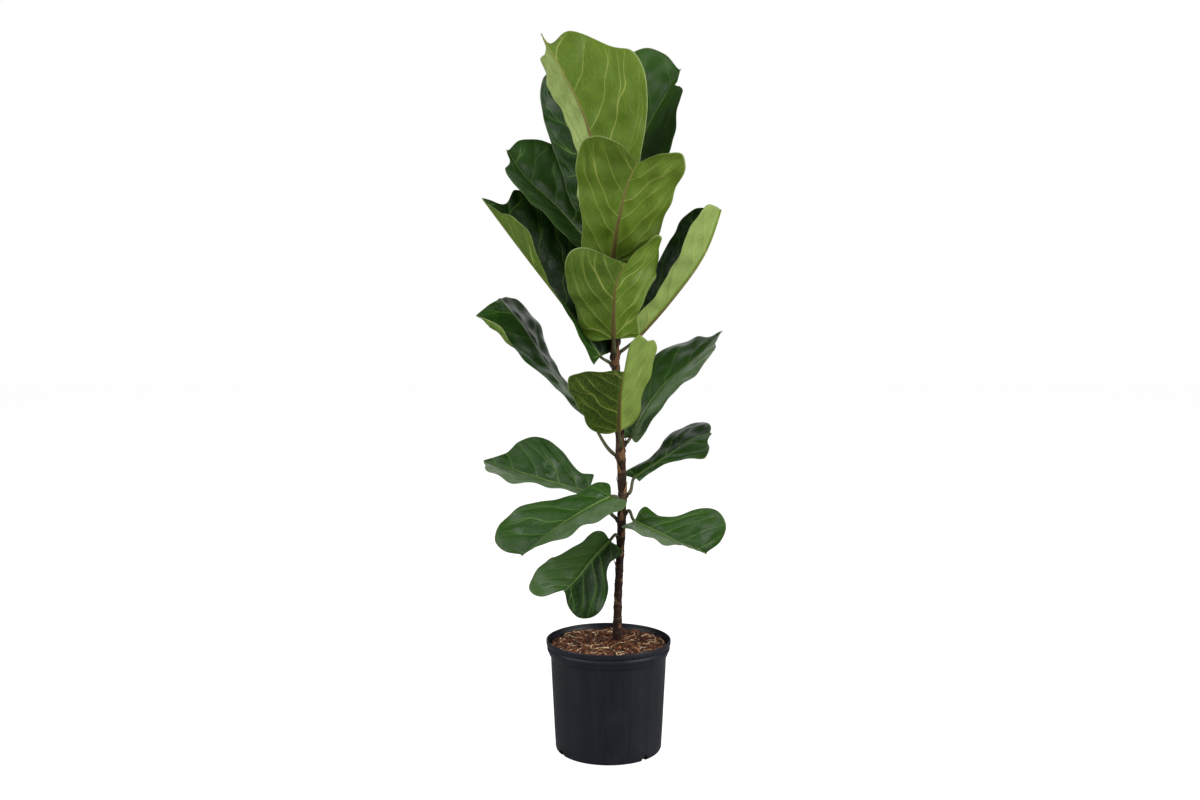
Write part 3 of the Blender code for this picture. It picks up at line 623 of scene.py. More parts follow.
stem = {
    # x, y, z, radius, from the buried foot to the growing tip
    "path": ((17, 0, 130, 9.5), (17, 0, 205, 9.5), (17, 0, 222, 9.5), (18, 0, 245, 8.8),
             (19, 0, 306, 7.8), (22, 0, 371, 7.6), (26, 0, 453, 8.4), (28, 0, 535, 8.3),
             (26, 0, 584, 8.7), (23, 0, 632, 8.4), (18, 0, 713, 7.8), (15, 0, 773, 7.6),
             (11, 0, 815, 7.8), (6, 0, 893, 6.8), (1, 0, 973, 6.4), (-5, 0, 1042, 5.8),
             (-11, 0, 1102, 5.2), (-14, 0, 1128, 4.6)),
    "sides": 40, "ringStep": 2.0, "smoothing": 13, "seed": 5, "creaseAngle": 60,
    # the heights over which the bark turns smooth and then green
    "turnsSmooth": (500, 1000), "turnsGreen": (1000, 1120),
    "waves": 16, "waveDepth": 0.075, "grainDepth": 0.1,
    "cushionSides": 22, "cushionRings": 11, "cushionSag": -1.4,
    "cushionFoot": 7.2, "cushionNeck": 3.1, "cushionEnd": 2.9,
    "stipuleSides": 12, "stipuleRings": 12,
    # height, place above the node and width of the rings and scars round it
    "nodeRings": ((1.0, 0, 7.0), (-0.45, 5, 1.6), (0.55, 8, 1.3)),
    "nodeScars": ((1.0, 8, 2.2), (0.5, -3, 2.0)),
    "bareNodes": (238, 262, 291, 317, 340, 368, 397, 560, 655, 735, 768, 845, 925, 1010),
    # height, azimuth, length, lean, width of each papery stipule
    "stipules": ((250, 300, 12, 8, 6), (300, 240, 14, 12, 6), (345, 320, 15, 18, 6), (372, 215, 26, 24, 6),
                 (396, 290, 30, 20, 7), (396, 120, 24, 16, 6), (436, 300, 24, 14, 8), (470, 265, 26, 16, 8),
                 (470, 80, 26, 20, 8), (524, 320, 26, 12, 9), (530, 150, 28, 14, 8), (566, 230, 30, 20, 8),
                 (592, 285, 34, 8, 11), (604, 250, 30, 6, 11), (612, 30, 28, 10, 9), (624, 300, 24, 12, 9),
                 (660, 205, 24, 14, 8), (738, 330, 22, 12, 7), (772, 270, 40, 6, 11), (784, 230, 46, 5, 11),
                 (790, 300, 42, 8, 11), (804, 60, 34, 10, 10), (812, 255, 26, 14, 8), (870, 290, 26, 10, 8),
                 (880, 110, 26, 12, 8), (948, 240, 26, 10, 8), (985, 300, 24, 12, 7),
                 (1030, 250, 24, 10, 7), (1066, 290, 24, 10, 7), (1092, 200, 26, 8, 8),
                 (1100, 330, 28, 8, 8)),
    "bark": (0.017, 0.0065, 0.0045), "cork": (0.046, 0.02, 0.012), "scar": (0.12, 0.075, 0.045),
    "green": (0.075, 0.085, 0.03), "paper": (0.23, 0.12, 0.05), "paperDark": (0.085, 0.036, 0.018),
}


# The stem's x, y, z and radius at a height.
def stemAt(height):
    table = np.array(stem["path"], float)
    return np.array([np.interp(height, table[:, 2], table[:, k]) for k in range(4)])


# One entry for each leaf from the top down. "node" is the height of its cushion on the stem,
# "leavesAt" the cushion's azimuth, "faces" the azimuth the blade runs towards, "half" its half
# width and "midrib" the midrib from base to tip. "tone" goes from old and dark to young, and is
# partly painted shade as well: it is set lower for leaves whose seen faces lie in shade.
# "left" and "right" fold each half up at base, middle and tip. The pairs are for the left and
# the right half: "curl" bends it up and "roll" rolls up its outer part near the tip, "ears"
# stretches the base lobe, "waist" narrows the lower part, "broad" and "lobes" move the broad
# part and the shoulder towards the tip, "crown" raises the edge beside the tip, "notch" cuts
# it back, and "shade" is painted light and shade added to the tone away from the midrib: a high
# value paints a pale sheen over that half and a low one a dark painted shade. "tip" lengthens
# the tip.
leafHabit = {"curl": (0, 0), "ears": (1, 1), "waist": (0, 0), "broad": (0, 0), "lobes": (0, 0),
             "crown": (0, 0), "notch": (0, 0), "roll": (0, 0), "tip": 0, "shade": (0, 0)}
leaves = {
    "leaf_01_top_front": {
        "tone": 0.75, "node": 1096, "leavesAt": 265, "faces": 255, "half": 141,
        "midrib": ((-16, -30, 1116), (-46, -64, 1260), (-84, -88, 1336), (-124, -99, 1404)),
        "left": (0, 2, 0), "right": (30, 48, 62), "curl": (18, 0), "ears": (0.5, 0.3),
        "waist": (-0.35, 0.1), "broad": (-0.09, 0), "lobes": (-0.195, -0.04), "crown": (0.11, -0.03),
        "notch": (0.05, 0), "tip": 0.03, "shade": (-0.3, 2.1),
    },
    "leaf_02_top_back": {
        "tone": 0.6, "node": 1090, "leavesAt": 60, "faces": 70, "half": 136,
        "midrib": ((16, 40, 1120), (76, 92, 1262), (112, 112, 1327), (150, 124, 1392)),
        "left": (-15, -5, 0), "right": (10, 38, 56), "curl": (0, 5), "ears": (0.3, 0.5),
        "waist": (-0.3, -0.7), "broad": (0, -0.08), "lobes": (0.07, -0.2),
    },
    "leaf_03_top_left": {
        "tone": -0.2, "node": 1066, "leavesAt": 140, "faces": 100, "half": 66,
        "midrib": ((-36, 30, 1100), (-58, 84, 1238), (-84, 118, 1372)),
        "left": (0, -15, -20), "right": (0, 10, 20), "ears": (0.6, 0.2), "waist": (-0.5, 0.3),
        "lobes": (0.08, 0), "shade": (-0.9, -0.9),
    },
    "leaf_04_left_upper": {
        "tone": -0.2, "node": 985, "leavesAt": 160, "faces": 165, "half": 105,
        "midrib": ((-28, 24, 1015), (-107, 66, 1106), (-180, 86, 1178), (-208, 92, 1222)),
        "left": (-15, -10, 0), "right": (60, 55, 45), "ears": (0.4, 0.3), "waist": (-0.5, -0.3),
        "lobes": (-0.15, 0.02), "crown": (0, 0.02),
    },
    "leaf_05_front_upper": {
        "tone": 0.55, "node": 955, "leavesAt": 285, "faces": 275, "half": 111,
        "midrib": ((6, -28, 988), (18, -75, 1060), (32, -120, 1120), (52, -165, 1165)),
        "left": (10, 15, 10), "right": (0, 22, 14), "curl": (10, 16), "ears": (1, 0.5),
        "waist": (-0.7, -0.35), "broad": (-0.1, 0), "lobes": (0.15, 0.12), "shade": (0.4, -0.05),
    },
    "leaf_06_left": {
        "tone": -0.5, "node": 780, "leavesAt": 185, "faces": 182, "half": 110,
        "midrib": ((-17, -8, 802), (-80, -10, 891), (-165, -10, 1000), (-250, -5, 1112)),
        "left": (-28, 3, 15), "right": (60, 62, 50), "curl": (10, 10), "ears": (0.2, 0.3),
        "waist": (0.1, -0.7), "lobes": (-0.15, -0.02), "crown": (0, -0.06), "shade": (0.3, -1.0),
    },
    "leaf_07_front_middle": {
        "tone": 0.1, "node": 800, "leavesAt": 268, "faces": 272, "half": 106,
        "midrib": ((10, -28, 838), (10, -70, 900), (16, -105, 950), (32, -125, 980)),
        "left": (0, 20, 40), "right": (0, 14, 8), "curl": (10, 10), "ears": (0.2, 0.5),
        "waist": (0, -0.5), "lobes": (0.32, -0.04), "crown": (0.1, 0), "notch": (-0.1, 0),
        "shade": (0.5, -0.3),
    },
    "leaf_08_right": {
        "tone": -0.35, "node": 802, "leavesAt": 5, "faces": 5, "half": 92,
        "midrib": ((60, 4, 840), (122, 5, 909), (196, 0, 1014), (224, 0, 1092)),
        "left": (46, 48, 46), "right": (45, 38, 34), "curl": (0, 5), "ears": (0.5, 0.5),
        "waist": (-0.7, -0.2), "lobes": (-0.01, 0), "broad": (-0.08, 0), "shade": (-1.0, 2.4),
    },
    "leaf_09_left_middle": {
        "tone": -0.35, "node": 594, "leavesAt": 190, "faces": 158, "half": 92,
        "midrib": ((-44, 12, 684), (-120, 34, 776), (-182, 55, 870), (-224, 70, 918)),
        "left": (5, -16, -57), "right": (0, -10, 0), "curl": (20, 10), "waist": (0, 0.1),
        "lobes": (0.01, 0), "roll": (105, 0), "shade": (0, -0.6),
    },
    "leaf_10_front_lower": {
        "tone": 0.3, "node": 612, "leavesAt": 272, "faces": 270, "half": 102,
        "midrib": ((20, -40, 656), (21, -110, 720), (27, -185, 778)),
        "left": (40, 45, 52), "right": (0, 0, 0), "waist": (-0.3, -0.5), "lobes": (0.12, 0),
        "crown": (0.3, 0), "notch": (-0.42, 0), "shade": (1.3, -1.5),
    },
    "leaf_11_right_middle": {
        "tone": 0.0, "node": 618, "leavesAt": 15, "faces": 12, "half": 92,
        "midrib": ((46, 10, 640), (105, 20, 735), (190, 30, 810), (230, 35, 850)),
        "left": (40, 29, 5), "right": (-10, -8, 10), "ears": (1, 0.5), "lobes": (-0.1, -0.12),
        "broad": (-0.08, 0), "waist": (-0.3, -0.3), "shade": (0, 2.1),
    },
    "leaf_12_right_lower": {
        "tone": -0.3, "node": 515, "leavesAt": 350, "faces": 20, "half": 75,
        "midrib": ((54, 5, 557), (122, 22, 600), (172, 35, 630), (210, 45, 642)),
        "left": (20, 12, 14), "right": (-5, -14, -20), "ears": (1.2, 0.2), "waist": (0.1, 0.45),
        "lobes": (0.08, -0.13), "shade": (-0.9, -0.5),
    },
    "leaf_13_left_lower": {
        "tone": -0.25, "node": 465, "leavesAt": 165, "faces": 165, "half": 86,
        "midrib": ((-42, 20, 524), (-140, 40, 549), (-210, 50, 570), (-256, 55, 582)),
        "left": (4, -4, 2), "right": (60, 60, 50), "ears": (1, 0.1), "waist": (0.1, 0.1),
        "lobes": (-0.05, -0.2), "broad": (0, -0.2), "shade": (2.5, 0),
    },
    "leaf_14_left_low_front": {
        "tone": -0.1, "node": 508, "leavesAt": 222, "faces": 215, "half": 88,
        "midrib": ((3, -25, 521), (-42, -60, 503), (-105, -95, 468), (-168, -120, 420)),
        "left": (-18, 3, 28), "right": (44, 38, 34), "ears": (1, 1.4), "lobes": (-0.1, 0.1),
        "waist": (-0.5, 0), "shade": (1.9, 0),
    },
    "leaf_15_right_lowest": {
        "tone": 0.25, "node": 480, "leavesAt": 335, "faces": 335, "half": 87,
        "midrib": ((52, -28, 473), (98, -60, 455), (140, -80, 438), (190, -100, 420)),
        "left": (45, 54, 70), "right": (-12, 5, 20), "ears": (0.5, 0.1), "lobes": (0.12, -0.1),
        "waist": (0.15, -0.25), "shade": (0, 2.3),
    },
    "leaf_16_lowest": {
        "tone": -0.1, "node": 432, "leavesAt": 225, "faces": 215, "half": 77,
        "midrib": ((2, -20, 431), (-32, -42, 399), (-63, -60, 363), (-89, -68, 338)),
        "left": (-50, -58, -60), "right": (32, 32, 32), "ears": (0.4, 1), "waist": (0.1, -0.2),
        "lobes": (0.12, 0.35), "shade": (-1.4, 1.5),
    },
    "leaf_17_back_upper": {
        "tone": 0.1, "node": 1030, "leavesAt": 50, "faces": 72, "half": 82,
        "midrib": ((30, 50, 1056), (42, 100, 1115), (50, 145, 1165), (56, 200, 1190)),
        "left": (10, 10, 5), "right": (15, 15, 10), "curl": (10, 10), "ears": (0.5, 0.5),
    },
    "leaf_18_back_middle": {
        "tone": -0.2, "node": 872, "leavesAt": 64, "faces": 92, "half": 80,
        "midrib": ((24, 56, 908), (20, 106, 965), (8, 152, 1010), (0, 210, 1035)),
        "left": (10, 15, 10), "right": (30, 15, 5), "curl": (10, 10), "ears": (0.2, 0.2),
        "waist": (0.2, 0.4),
    },
    "leaf_19_back_lower": {
        "tone": -0.35, "node": 690, "leavesAt": 110, "faces": 92, "half": 60,
        "midrib": ((6, 44, 708), (4, 95, 730), (6, 145, 736), (8, 190, 722)),
        "left": (15, 10, 0), "right": (10, 10, 0), "curl": (5, 5), "ears": (0.5, 0.5),
    },
}

blade = {
    "thickness": 0.7, "thinning": 0.55, "ribDepth": 3.6, "ribWidth": 4.2, "ribReach": 9.0,
    "sweep": 1.6, "waveSize": 3.0, "waveCount": 3.0, "waveTurn": 0.37,
    "rollFrom": 0.6, "rollAlong": (0.4, 0.8), "rowStep": 3.3, "columnStep": 3.1,
    "nearColumns": (0, 1.0, 2.0, 3.2, 4.8, 7.0), "farColumn": 10.0,
    "petioleRadius": 3.2, "petioleFlare": 1.25, "petioleRings": 14, "channelDepth": 0.12,
    "cushion": 7.0, "cushionRise": 35.0, "cushionGap": 0.3,
    # half an outline: start on the midrib, distance across and along, at the margin
    "outline": ((0.00, 0.05, -0.02), (0.02, 0.30, -0.06), (0.06, 0.46, -0.01), (0.13, 0.47, 0.12),
                (0.21, 0.46, 0.26), (0.32, 0.60, 0.42), (0.44, 0.84, 0.58), (0.56, 1.00, 0.74),
                (0.69, 0.96, 0.88), (0.82, 0.72, 0.98), (0.90, 0.36, 1.00), (0.97, 0.05, 1.00),
                (0.995, 0.012, 1.004)),
    "lobeShare": (0, 0, 0, 0, 0, 0.05, 0.15, 0.4, 0.75, 1.0, 0.8, 0, 0),
    "crownShare": (0, 0, 0, 0, 0, 0, 0, 0, 0, 0, 1.0, 0, 0),
    "waistShare": (0, 0, 0.2, 0.7, 1.0, 0.7, 0.2, 0, 0, 0, 0, 0, 0),
}
veins = {
    "spacing": 0.21, "lean": 0.8, "bend": 0.0045, "fan": 34.0, "fork": 0.26,
    "width": 1.6, "ridge": 0.9, "groove": 0.4, "ribSink": 0.8, "pillow": 2.0, "swell": 2.3,
}


# The way between two points, leaving and arriving along the given vectors.
def hermite(u, first, leaving, last, arriving):
    return ((2 * u**3 - 3 * u**2 + 1) * first + (u**3 - 2 * u**2 + u) * leaving
            + (3 * u**2 - 2 * u**3) * last + (u**3 - u**2) * arriving)


def smoothPath(points, perSpan=24):
    points = np.asarray(points, float)
    chords = np.linalg.norm(np.diff(points, axis=0), axis=1)
    slopes = np.diff(points, axis=0) / chords[:, None]
    tangents = np.zeros_like(points)
    for i in range(1, len(points) - 1):
        before, after = chords[i - 1], chords[i]
        tangents[i] = (slopes[i - 1] * after + slopes[i] * before) / (before + after)
    tangents[0] = 1.5 * slopes[0] - 0.5 * tangents[1]
    tangents[-1] = 1.5 * slopes[-1] - 0.5 * tangents[-2]
    u = np.linspace(0, 1, perSpan + 1)[1:, None]
    dense = [points[:1]] + [
        hermite(u, points[i], chord * tangents[i], points[i + 1], chord * tangents[i + 1])
        for i, chord in enumerate(chords)]
    path = np.concatenate(dense)
    steps = np.linalg.norm(np.diff(path, axis=0), axis=1)
    return path, np.concatenate([[0.0], np.cumsum(steps)])


# Points at the given distances along a path, which runs on straight past its ends.
def alongPath(path, lengths, distance):
    points = np.stack([np.interp(distance, lengths, path[:, k]) for k in range(3)], -1)
    before = np.clip(-distance, 0, None)[..., None] * unit(path[0] - path[1])
    beyond = np.clip(distance - lengths[-1], 0, None)[..., None] * unit(path[-1] - path[-2])
    return points + before + beyond


def throughThree(values, along):
    base, middle, tip = values
    t = np.clip(along, -0.1, 1.1)
    return base * (1 - t) * (1 - 2 * t) + 4 * middle * t * (1 - t) + tip * t * (2 * t - 1)


# The directions across and out of a blade's flat middle, where it runs along the tangent.
def bladeAxes(leaf, tangent):
    azimuth = math.radians(leaf["faces"])
    level = np.array([math.sin(azimuth), -math.cos(azimuth), 0.0])
    sideways = unit(level - (tangent @ level)[..., None] * tangent)
    return sideways, np.cross(sideways, tangent)


# The blade's centre surface and its upward normals, one side at a time.
def bladeSurface(leaf, across, along, side):
    path, lengths = leaf["path"], leaf["lengths"]
    here = alongPath(path, lengths, along * lengths[-1])
    step = 0.01 * lengths[-1]
    tangent = unit(alongPath(path, lengths, along * lengths[-1] + step)
                   - alongPath(path, lengths, along * lengths[-1] - step))
    sideways, upward = bladeAxes(leaf, tangent)
    which = int(side > 0)
    fold = np.radians(throughThree(leaf["right" if which else "left"], along))
    curl = np.radians(leaf["curl"][which]) + 1e-4
    inner = np.minimum(across, blade["rollFrom"])
    bend = fold + curl * inner
    rolled = smoothStep(along, *blade["rollAlong"]) / (1 - blade["rollFrom"])
    roll = curl + np.radians(leaf["roll"][which]) * rolled
    angle = bend + roll * (across - inner)
    reach = ((np.sin(bend) - np.sin(fold)) / curl + (np.sin(angle) - np.sin(bend)) / roll) * leaf["half"]
    rise = ((np.cos(fold) - np.cos(bend)) / curl + (np.cos(bend) - np.cos(angle)) / roll) * leaf["half"]
    normal = (-side * np.sin(angle))[..., None] * sideways + np.cos(angle)[..., None] * upward
    phase = blade["waveTurn"] * leaf["node"] + 0.25 * side
    wave = blade["waveSize"] * across**1.5 * np.sin(2 * math.pi * (blade["waveCount"] * along + phase))
    surface = here + (side * reach)[..., None] * sideways + rise[..., None] * upward
    return surface + wave[..., None] * normal, normal


# Half an outline, with the leaf's own habits, as rows of start, across and along.
def outlineTable(leaf, side):
    start, across, along = np.array(blade["outline"]).T
    habit = {key: leaf[key][int(side > 0)] for key in ("ears", "waist", "broad", "lobes", "crown", "notch")}
    across = across * (1 - habit["waist"] * np.array(blade["waistShare"]))
    along = np.where(along < 0, along * habit["ears"], along)
    along = along + habit["broad"] * np.sin(math.pi * np.clip(along, 0, 1))
    along = along + habit["lobes"] * np.array(blade["lobeShare"])
    along = along + habit["crown"] * np.array(blade["crownShare"])
    along[-2] -= habit["notch"]
    start[-1], along[-1] = start[-1] + leaf["tip"], along[-1] + leaf["tip"]
    return np.stack([start, across, along])


# A smooth curve through the table's columns, read at fractional column numbers.
def smoothRows(table, at):
    last = table.shape[1] - 1
    low = np.clip(np.floor(at).astype(int), 0, last - 1)
    t = at - low
    a, b = table[:, np.maximum(low - 1, 0)], table[:, low]
    c, d = table[:, low + 1], table[:, np.minimum(low + 2, last)]
    return 0.5 * (2 * b + (c - a) * t + (2 * a - 5 * b + 4 * c - d) * t**2
                  + (3 * b - a - 3 * c + d) * t**3)


# Which lateral vein is near a place: whole numbers lie on a vein, and "per" is the distance
# in millimetres from one to the next. Each vein forks towards the margin. The sines of "which"
# and of the leaf's seed vary the veins without a random draw.
def veinPhases(leaf, x, l, q, side):
    spacing = veins["spacing"] * leaf["lengths"][-1]
    rise = veins["lean"] * x + veins["bend"] * x * x
    body = (l - rise) / spacing
    bodyPer = spacing / np.sqrt(1 + (veins["lean"] + 2 * veins["bend"] * x) ** 2)
    fan = math.radians(veins["fan"])
    ear = -(np.arctan2(x, l) - np.arctan2(x, rise + 1e-6)) / fan
    earPer = np.clip(np.hypot(x, l) * fan, 3.0, spacing)
    onBlade = l >= rise
    phase = np.where(onBlade, body, ear) + 0.33 * side + 0.1 * leaf["seed"]
    phase = phase + 0.12 * np.sin(4.1 * phase + 1.7 * leaf["seed"])
    phase = phase + 0.045 * np.sin(x / 9 + leaf["seed"]) + 0.03 * np.sin(l / 7 + 2 * leaf["seed"])
    which = np.round(phase) + 7 * side + leaf["seed"]
    begin = 0.56 + 0.2 * np.sin(12.9 * which)
    spread = veins["fork"] * (0.7 + 0.3 * np.sin(78.2 * which)) * smoothStep(q, begin, begin + 0.5)
    lean = 0.5 + 0.4 * np.sin(37.7 * which)
    return phase - 2 * lean * spread, phase + 2 * (1 - lean) * spread, np.where(onBlade, bodyPer, earPer)


# How far the upper and the under side stand off the centre surface, and the vein field there.
# x and l are millimetres from the midrib and from the base, q is 1 at the margin, and "young"
# falls from 1 at the base to 0 at the tip.
def bladeRelief(leaf, x, l, q, young, side):
    forkA, forkB, per = veinPhases(leaf, x, l, q, side)
    edge = np.minimum(abs(forkA - np.round(forkA)), abs(forkB - np.round(forkB)))
    ribWidth = blade["ribWidth"] * young + 1.0
    rib = np.exp(-(x / ribWidth) ** 2) * (blade["ribDepth"] * young**1.1 + 0.5)
    lateral = np.exp(-(edge * per / veins["width"]) ** 2) * smoothStep(x, 2, 7) * (1 - 0.7 * q)
    between = smoothStep(x, 3, 16) * (1 - smoothStep(q, 0.72, 1.0)) * smoothStep(per, 6, 20)
    pillow = veins["pillow"] * (np.sin(math.pi * edge) ** 1.3) * between
    signed, seed = side * x, leaf["seed"]
    swell = (np.sin(signed / 13 + l / 21 + seed) * np.sin(l / 15 - signed / 27 + 2 * seed)
             + 0.15 * np.sin(signed / 7.1 - l / 9.3 + 3 * seed))
    swell = veins["swell"] * swell * smoothStep(x, 2, 18)
    half = blade["thickness"] / 2 * (1 - blade["thinning"] * smoothStep(q, 0.965, 1.0))
    sink = veins["groove"] * lateral + veins["ribSink"] * young * np.exp(-(x / (0.6 * ribWidth)) ** 2)
    return (half + pillow + swell - sink, half + rib + veins["ridge"] * lateral - pillow - swell,
            np.stack([forkA, forkB, per / 100, x / ribWidth], -1))


# Rings along the blade, each running over the upper side and back along the under side.
def shapeBlade(leaf):
    tables = {side: outlineTable(leaf, side) for side in (-1, 1)}
    length = leaf["lengths"][-1]
    margin = (tables[-1][1:] + tables[1][1:]) / 2 * np.array([[leaf["half"]], [length]])
    spans = np.linalg.norm(np.diff(margin, axis=1), axis=0)
    counts = np.maximum(3, np.round(spans / blade["rowStep"])).astype(int)
    at = np.concatenate([np.linspace(i, i + 1, count, endpoint=False)
                         for i, count in enumerate(counts)] + [[len(counts) - 0.001]])
    near, far = np.array(blade["nearColumns"]) / leaf["half"], blade["farColumn"]
    more = max(8, round((leaf["half"] - far) / blade["columnStep"]))
    shares = np.concatenate([near, np.linspace(far / leaf["half"], 1, more)])
    columns = [(-1, q) for q in shares[:0:-1]] + [(1, q) for q in shares]
    upper, lower, veinField, place = [], [], [], []
    for side, q in columns:
        start, across, along = smoothRows(tables[side], at)
        across, along = np.maximum(across, 0.004) * q, start + (along - start) * q**blade["sweep"]
        points, normals = bladeSurface(leaf, across, along, side)
        middle = sum(bladeSurface(leaf, across * 0, start, way)[1] for way in (-1, 1))
        x, l = across * leaf["half"], along * length
        away = np.clip(x / blade["ribReach"], 0, 1)[:, None]
        normals = unit(normals * away + unit(middle) * (1 - away))
        over, below, field = bladeRelief(leaf, x, l, np.full_like(x, q), 1 - np.clip(along, 0, 1), side)
        upper.append(points + normals * over[:, None])
        lower.append(points - normals * below[:, None])
        veinField.append(field)
        # The fourth value is the leaf's tone plus the half's painted light and shade, which starts at the
        # midrib.
        place.append(np.stack([side * x / 100, l / 100, np.full_like(x, q),
                               leaf["tone"] + leaf["shade"][side > 0] * smoothStep(x, 0, 10)], -1))
    return [np.concatenate([np.array(part), np.array(back)[::-1]]).transpose(1, 0, 2)
            for part, back in ((upper, lower), (veinField, veinField), (place, place))]


# Rings from the cushion on the stem up to the blade, with as many corners as a blade's row.
def shapePetiole(leaf, corners):
    end, way = cushionEnd(leaf)
    foot = end + way * blade["cushionGap"]
    base = np.array(leaf["midrib"][0], float)
    onward = unit(leaf["path"][1] - leaf["path"][0])
    reach = np.linalg.norm(base - foot)
    half = corners // 2
    turns = np.radians(np.concatenate([np.linspace(170, 10, half), np.linspace(-10, -170, half)]))
    channel = 1 - blade["channelDepth"] * np.exp(-((turns - math.pi / 2) / 0.4) ** 2)
    rings = []
    for u in np.linspace(0, 1, blade["petioleRings"], endpoint=False):
        centre = hermite(u, foot, reach * way, base, reach * onward)
        tangent = unit((6 * u**2 - 6 * u) * (foot - base) + (3 * u**2 - 4 * u + 1) * reach * way
                       + (3 * u**2 - 2 * u) * reach * onward)
        sideways, upward = bladeAxes(leaf, tangent)
        flare = 1 + (blade["petioleFlare"] - 1) * (1 - smoothStep(u, 0, 0.5)) + 0.12 * smoothStep(u, 0.8, 1)
        radius = blade["petioleRadius"] * flare * channel
        rings.append(ovalRing(centre, turns, radius, sideways, radius, upward))
    return np.array(rings)


# The outer end of a leaf's cushion, and the way out along it.
def cushionEnd(leaf):
    x, y, z, radius = stemAt(leaf["node"])
    azimuth, rise = math.radians(leaf["leavesAt"]), math.radians(blade["cushionRise"])
    way = np.array([math.cos(azimuth) * math.cos(rise), math.sin(azimuth) * math.cos(rise),
                    math.sin(rise)])
    return np.array([x, y, z]) + way * (radius + blade["cushion"]), way


# One closed piece: the petiole's rings run on as the rows of the blade, over and back under it.
def buildLeaf(name, leaf, materials):
    leaf["path"], leaf["lengths"] = smoothPath(leaf["midrib"])
    leaf["seed"] = leaf["node"] * 0.37 % 6.0
    points, field, place = shapeBlade(leaf)
    corners = points.shape[1]
    petiole = shapePetiole(leaf, corners)
    rings, rows, half = len(petiole), len(petiole) + len(points), corners // 2
    still = np.zeros((rings, corners, 4))
    still[..., 1] = np.linspace(-0.5, 0, rings)[:, None]
    still[..., 3] = leaf["tone"]
    points = np.concatenate([petiole, points])
    field = np.concatenate([np.zeros_like(still), field])
    place = np.concatenate([still, place])
    quads = ringQuads(rows, corners)
    row, column = np.divmod(np.arange(len(quads)), corners)
    upper, under, skin = 0, 1, 2
    onTop = (column < half) | (column == corners - 1)
    slots = np.where(row < rings, skin, np.where(onTop, upper, under))
    caps, last = [], (rows - 1) * corners
    for k in range(half - 1):
        caps.append((corners - 1 - k, corners - 2 - k, k + 1, k))
        caps.append((last + k, last + k + 1, last + corners - 2 - k, last + corners - 1 - k))
    faces = quads.tolist() + caps
    slots = np.concatenate([slots, np.tile([skin, under], half - 1)])
    piece = makeMesh(name + "_blade", points.reshape(-1, 3), faces, materials, slots,
                     {"veinField": field.reshape(-1, 4), "bladePlace": place.reshape(-1, 4)})
    finishPiece(piece, "leaf_blade", name)
    return len(faces)


# Masks of the midrib, the lateral veins and the fine net between them, from a leaf's fields.
def buildVeinGroup():
    tree, given, result = startGroup("leafVeins", [
        ("Line Width", "Float", 0.9), ("Softness", "Float", 0.5),
        ("Net Width", "Float", 0.05), ("Rib Width", "Float", 1.0),
    ], ["Midrib", "Laterals", "Halo", "Net", "Along", "Margin"])
    field = fieldOf(tree, "veinField")
    forks, where = splitVector(field["Vector"]), splitVector(fieldOf(tree, "bladePlace")["Vector"])
    per = times(forks["Z"], 100.0)
    away = calc("MINIMUM", *(
        times(calc("ABSOLUTE", calc("SUBTRACT", fork, calc("ROUND", fork))), per)
        for fork in (forks["X"], forks["Y"])))
    width = times(given["Line Width"], calc("SUBTRACT", 1.15, times(where["Z"], 0.8)))
    line = fade(away, calc("ADD", width, given["Softness"]), width)
    notTip = fade(where["Z"], 0.985, 0.9)
    ladder = joinVector(tree, times(forks["X"], 3.2), times(where["X"], 15.0), times(where["Y"], 0.4))
    fine = joinVector(tree, times(where["X"], 38.0), times(where["Y"], 38.0))
    coarse = addNode(tree, "ShaderNodeTexVoronoi", {"Vector": ladder, "Scale": 1.0},
                     feature="DISTANCE_TO_EDGE")
    small = addNode(tree, "ShaderNodeTexVoronoi", {"Vector": fine, "Scale": 1.0},
                    feature="DISTANCE_TO_EDGE", voronoi_dimensions="2D")
    wide = times(given["Net Width"], 2.2)
    nets = [addNode(tree, "ShaderNodeMapRange", {
        "Value": cells.outputs[0], "From Min": wide, "From Max": times(wide, 0.2),
        "To Max": strength}).outputs[0] for cells, strength in ((coarse, 1.0), (small, 0.4))]
    plug(result, {
        "Midrib": fade(calc("DIVIDE", field["Alpha"], given["Rib Width"]), 1.25, 0.75),
        "Laterals": times(times(line, notTip), fade(where["Z"], 0.45, 0.95, 1.0, 0.45)),
        "Halo": times(fade(away, 7.0, 0.5), notTip),
        "Net": calc("MAXIMUM", *nets),
        "Along": where["Y"],
        "Margin": fade(where["Z"], 0.976, 0.99)})
    return tree


leafVeins = buildVeinGroup()
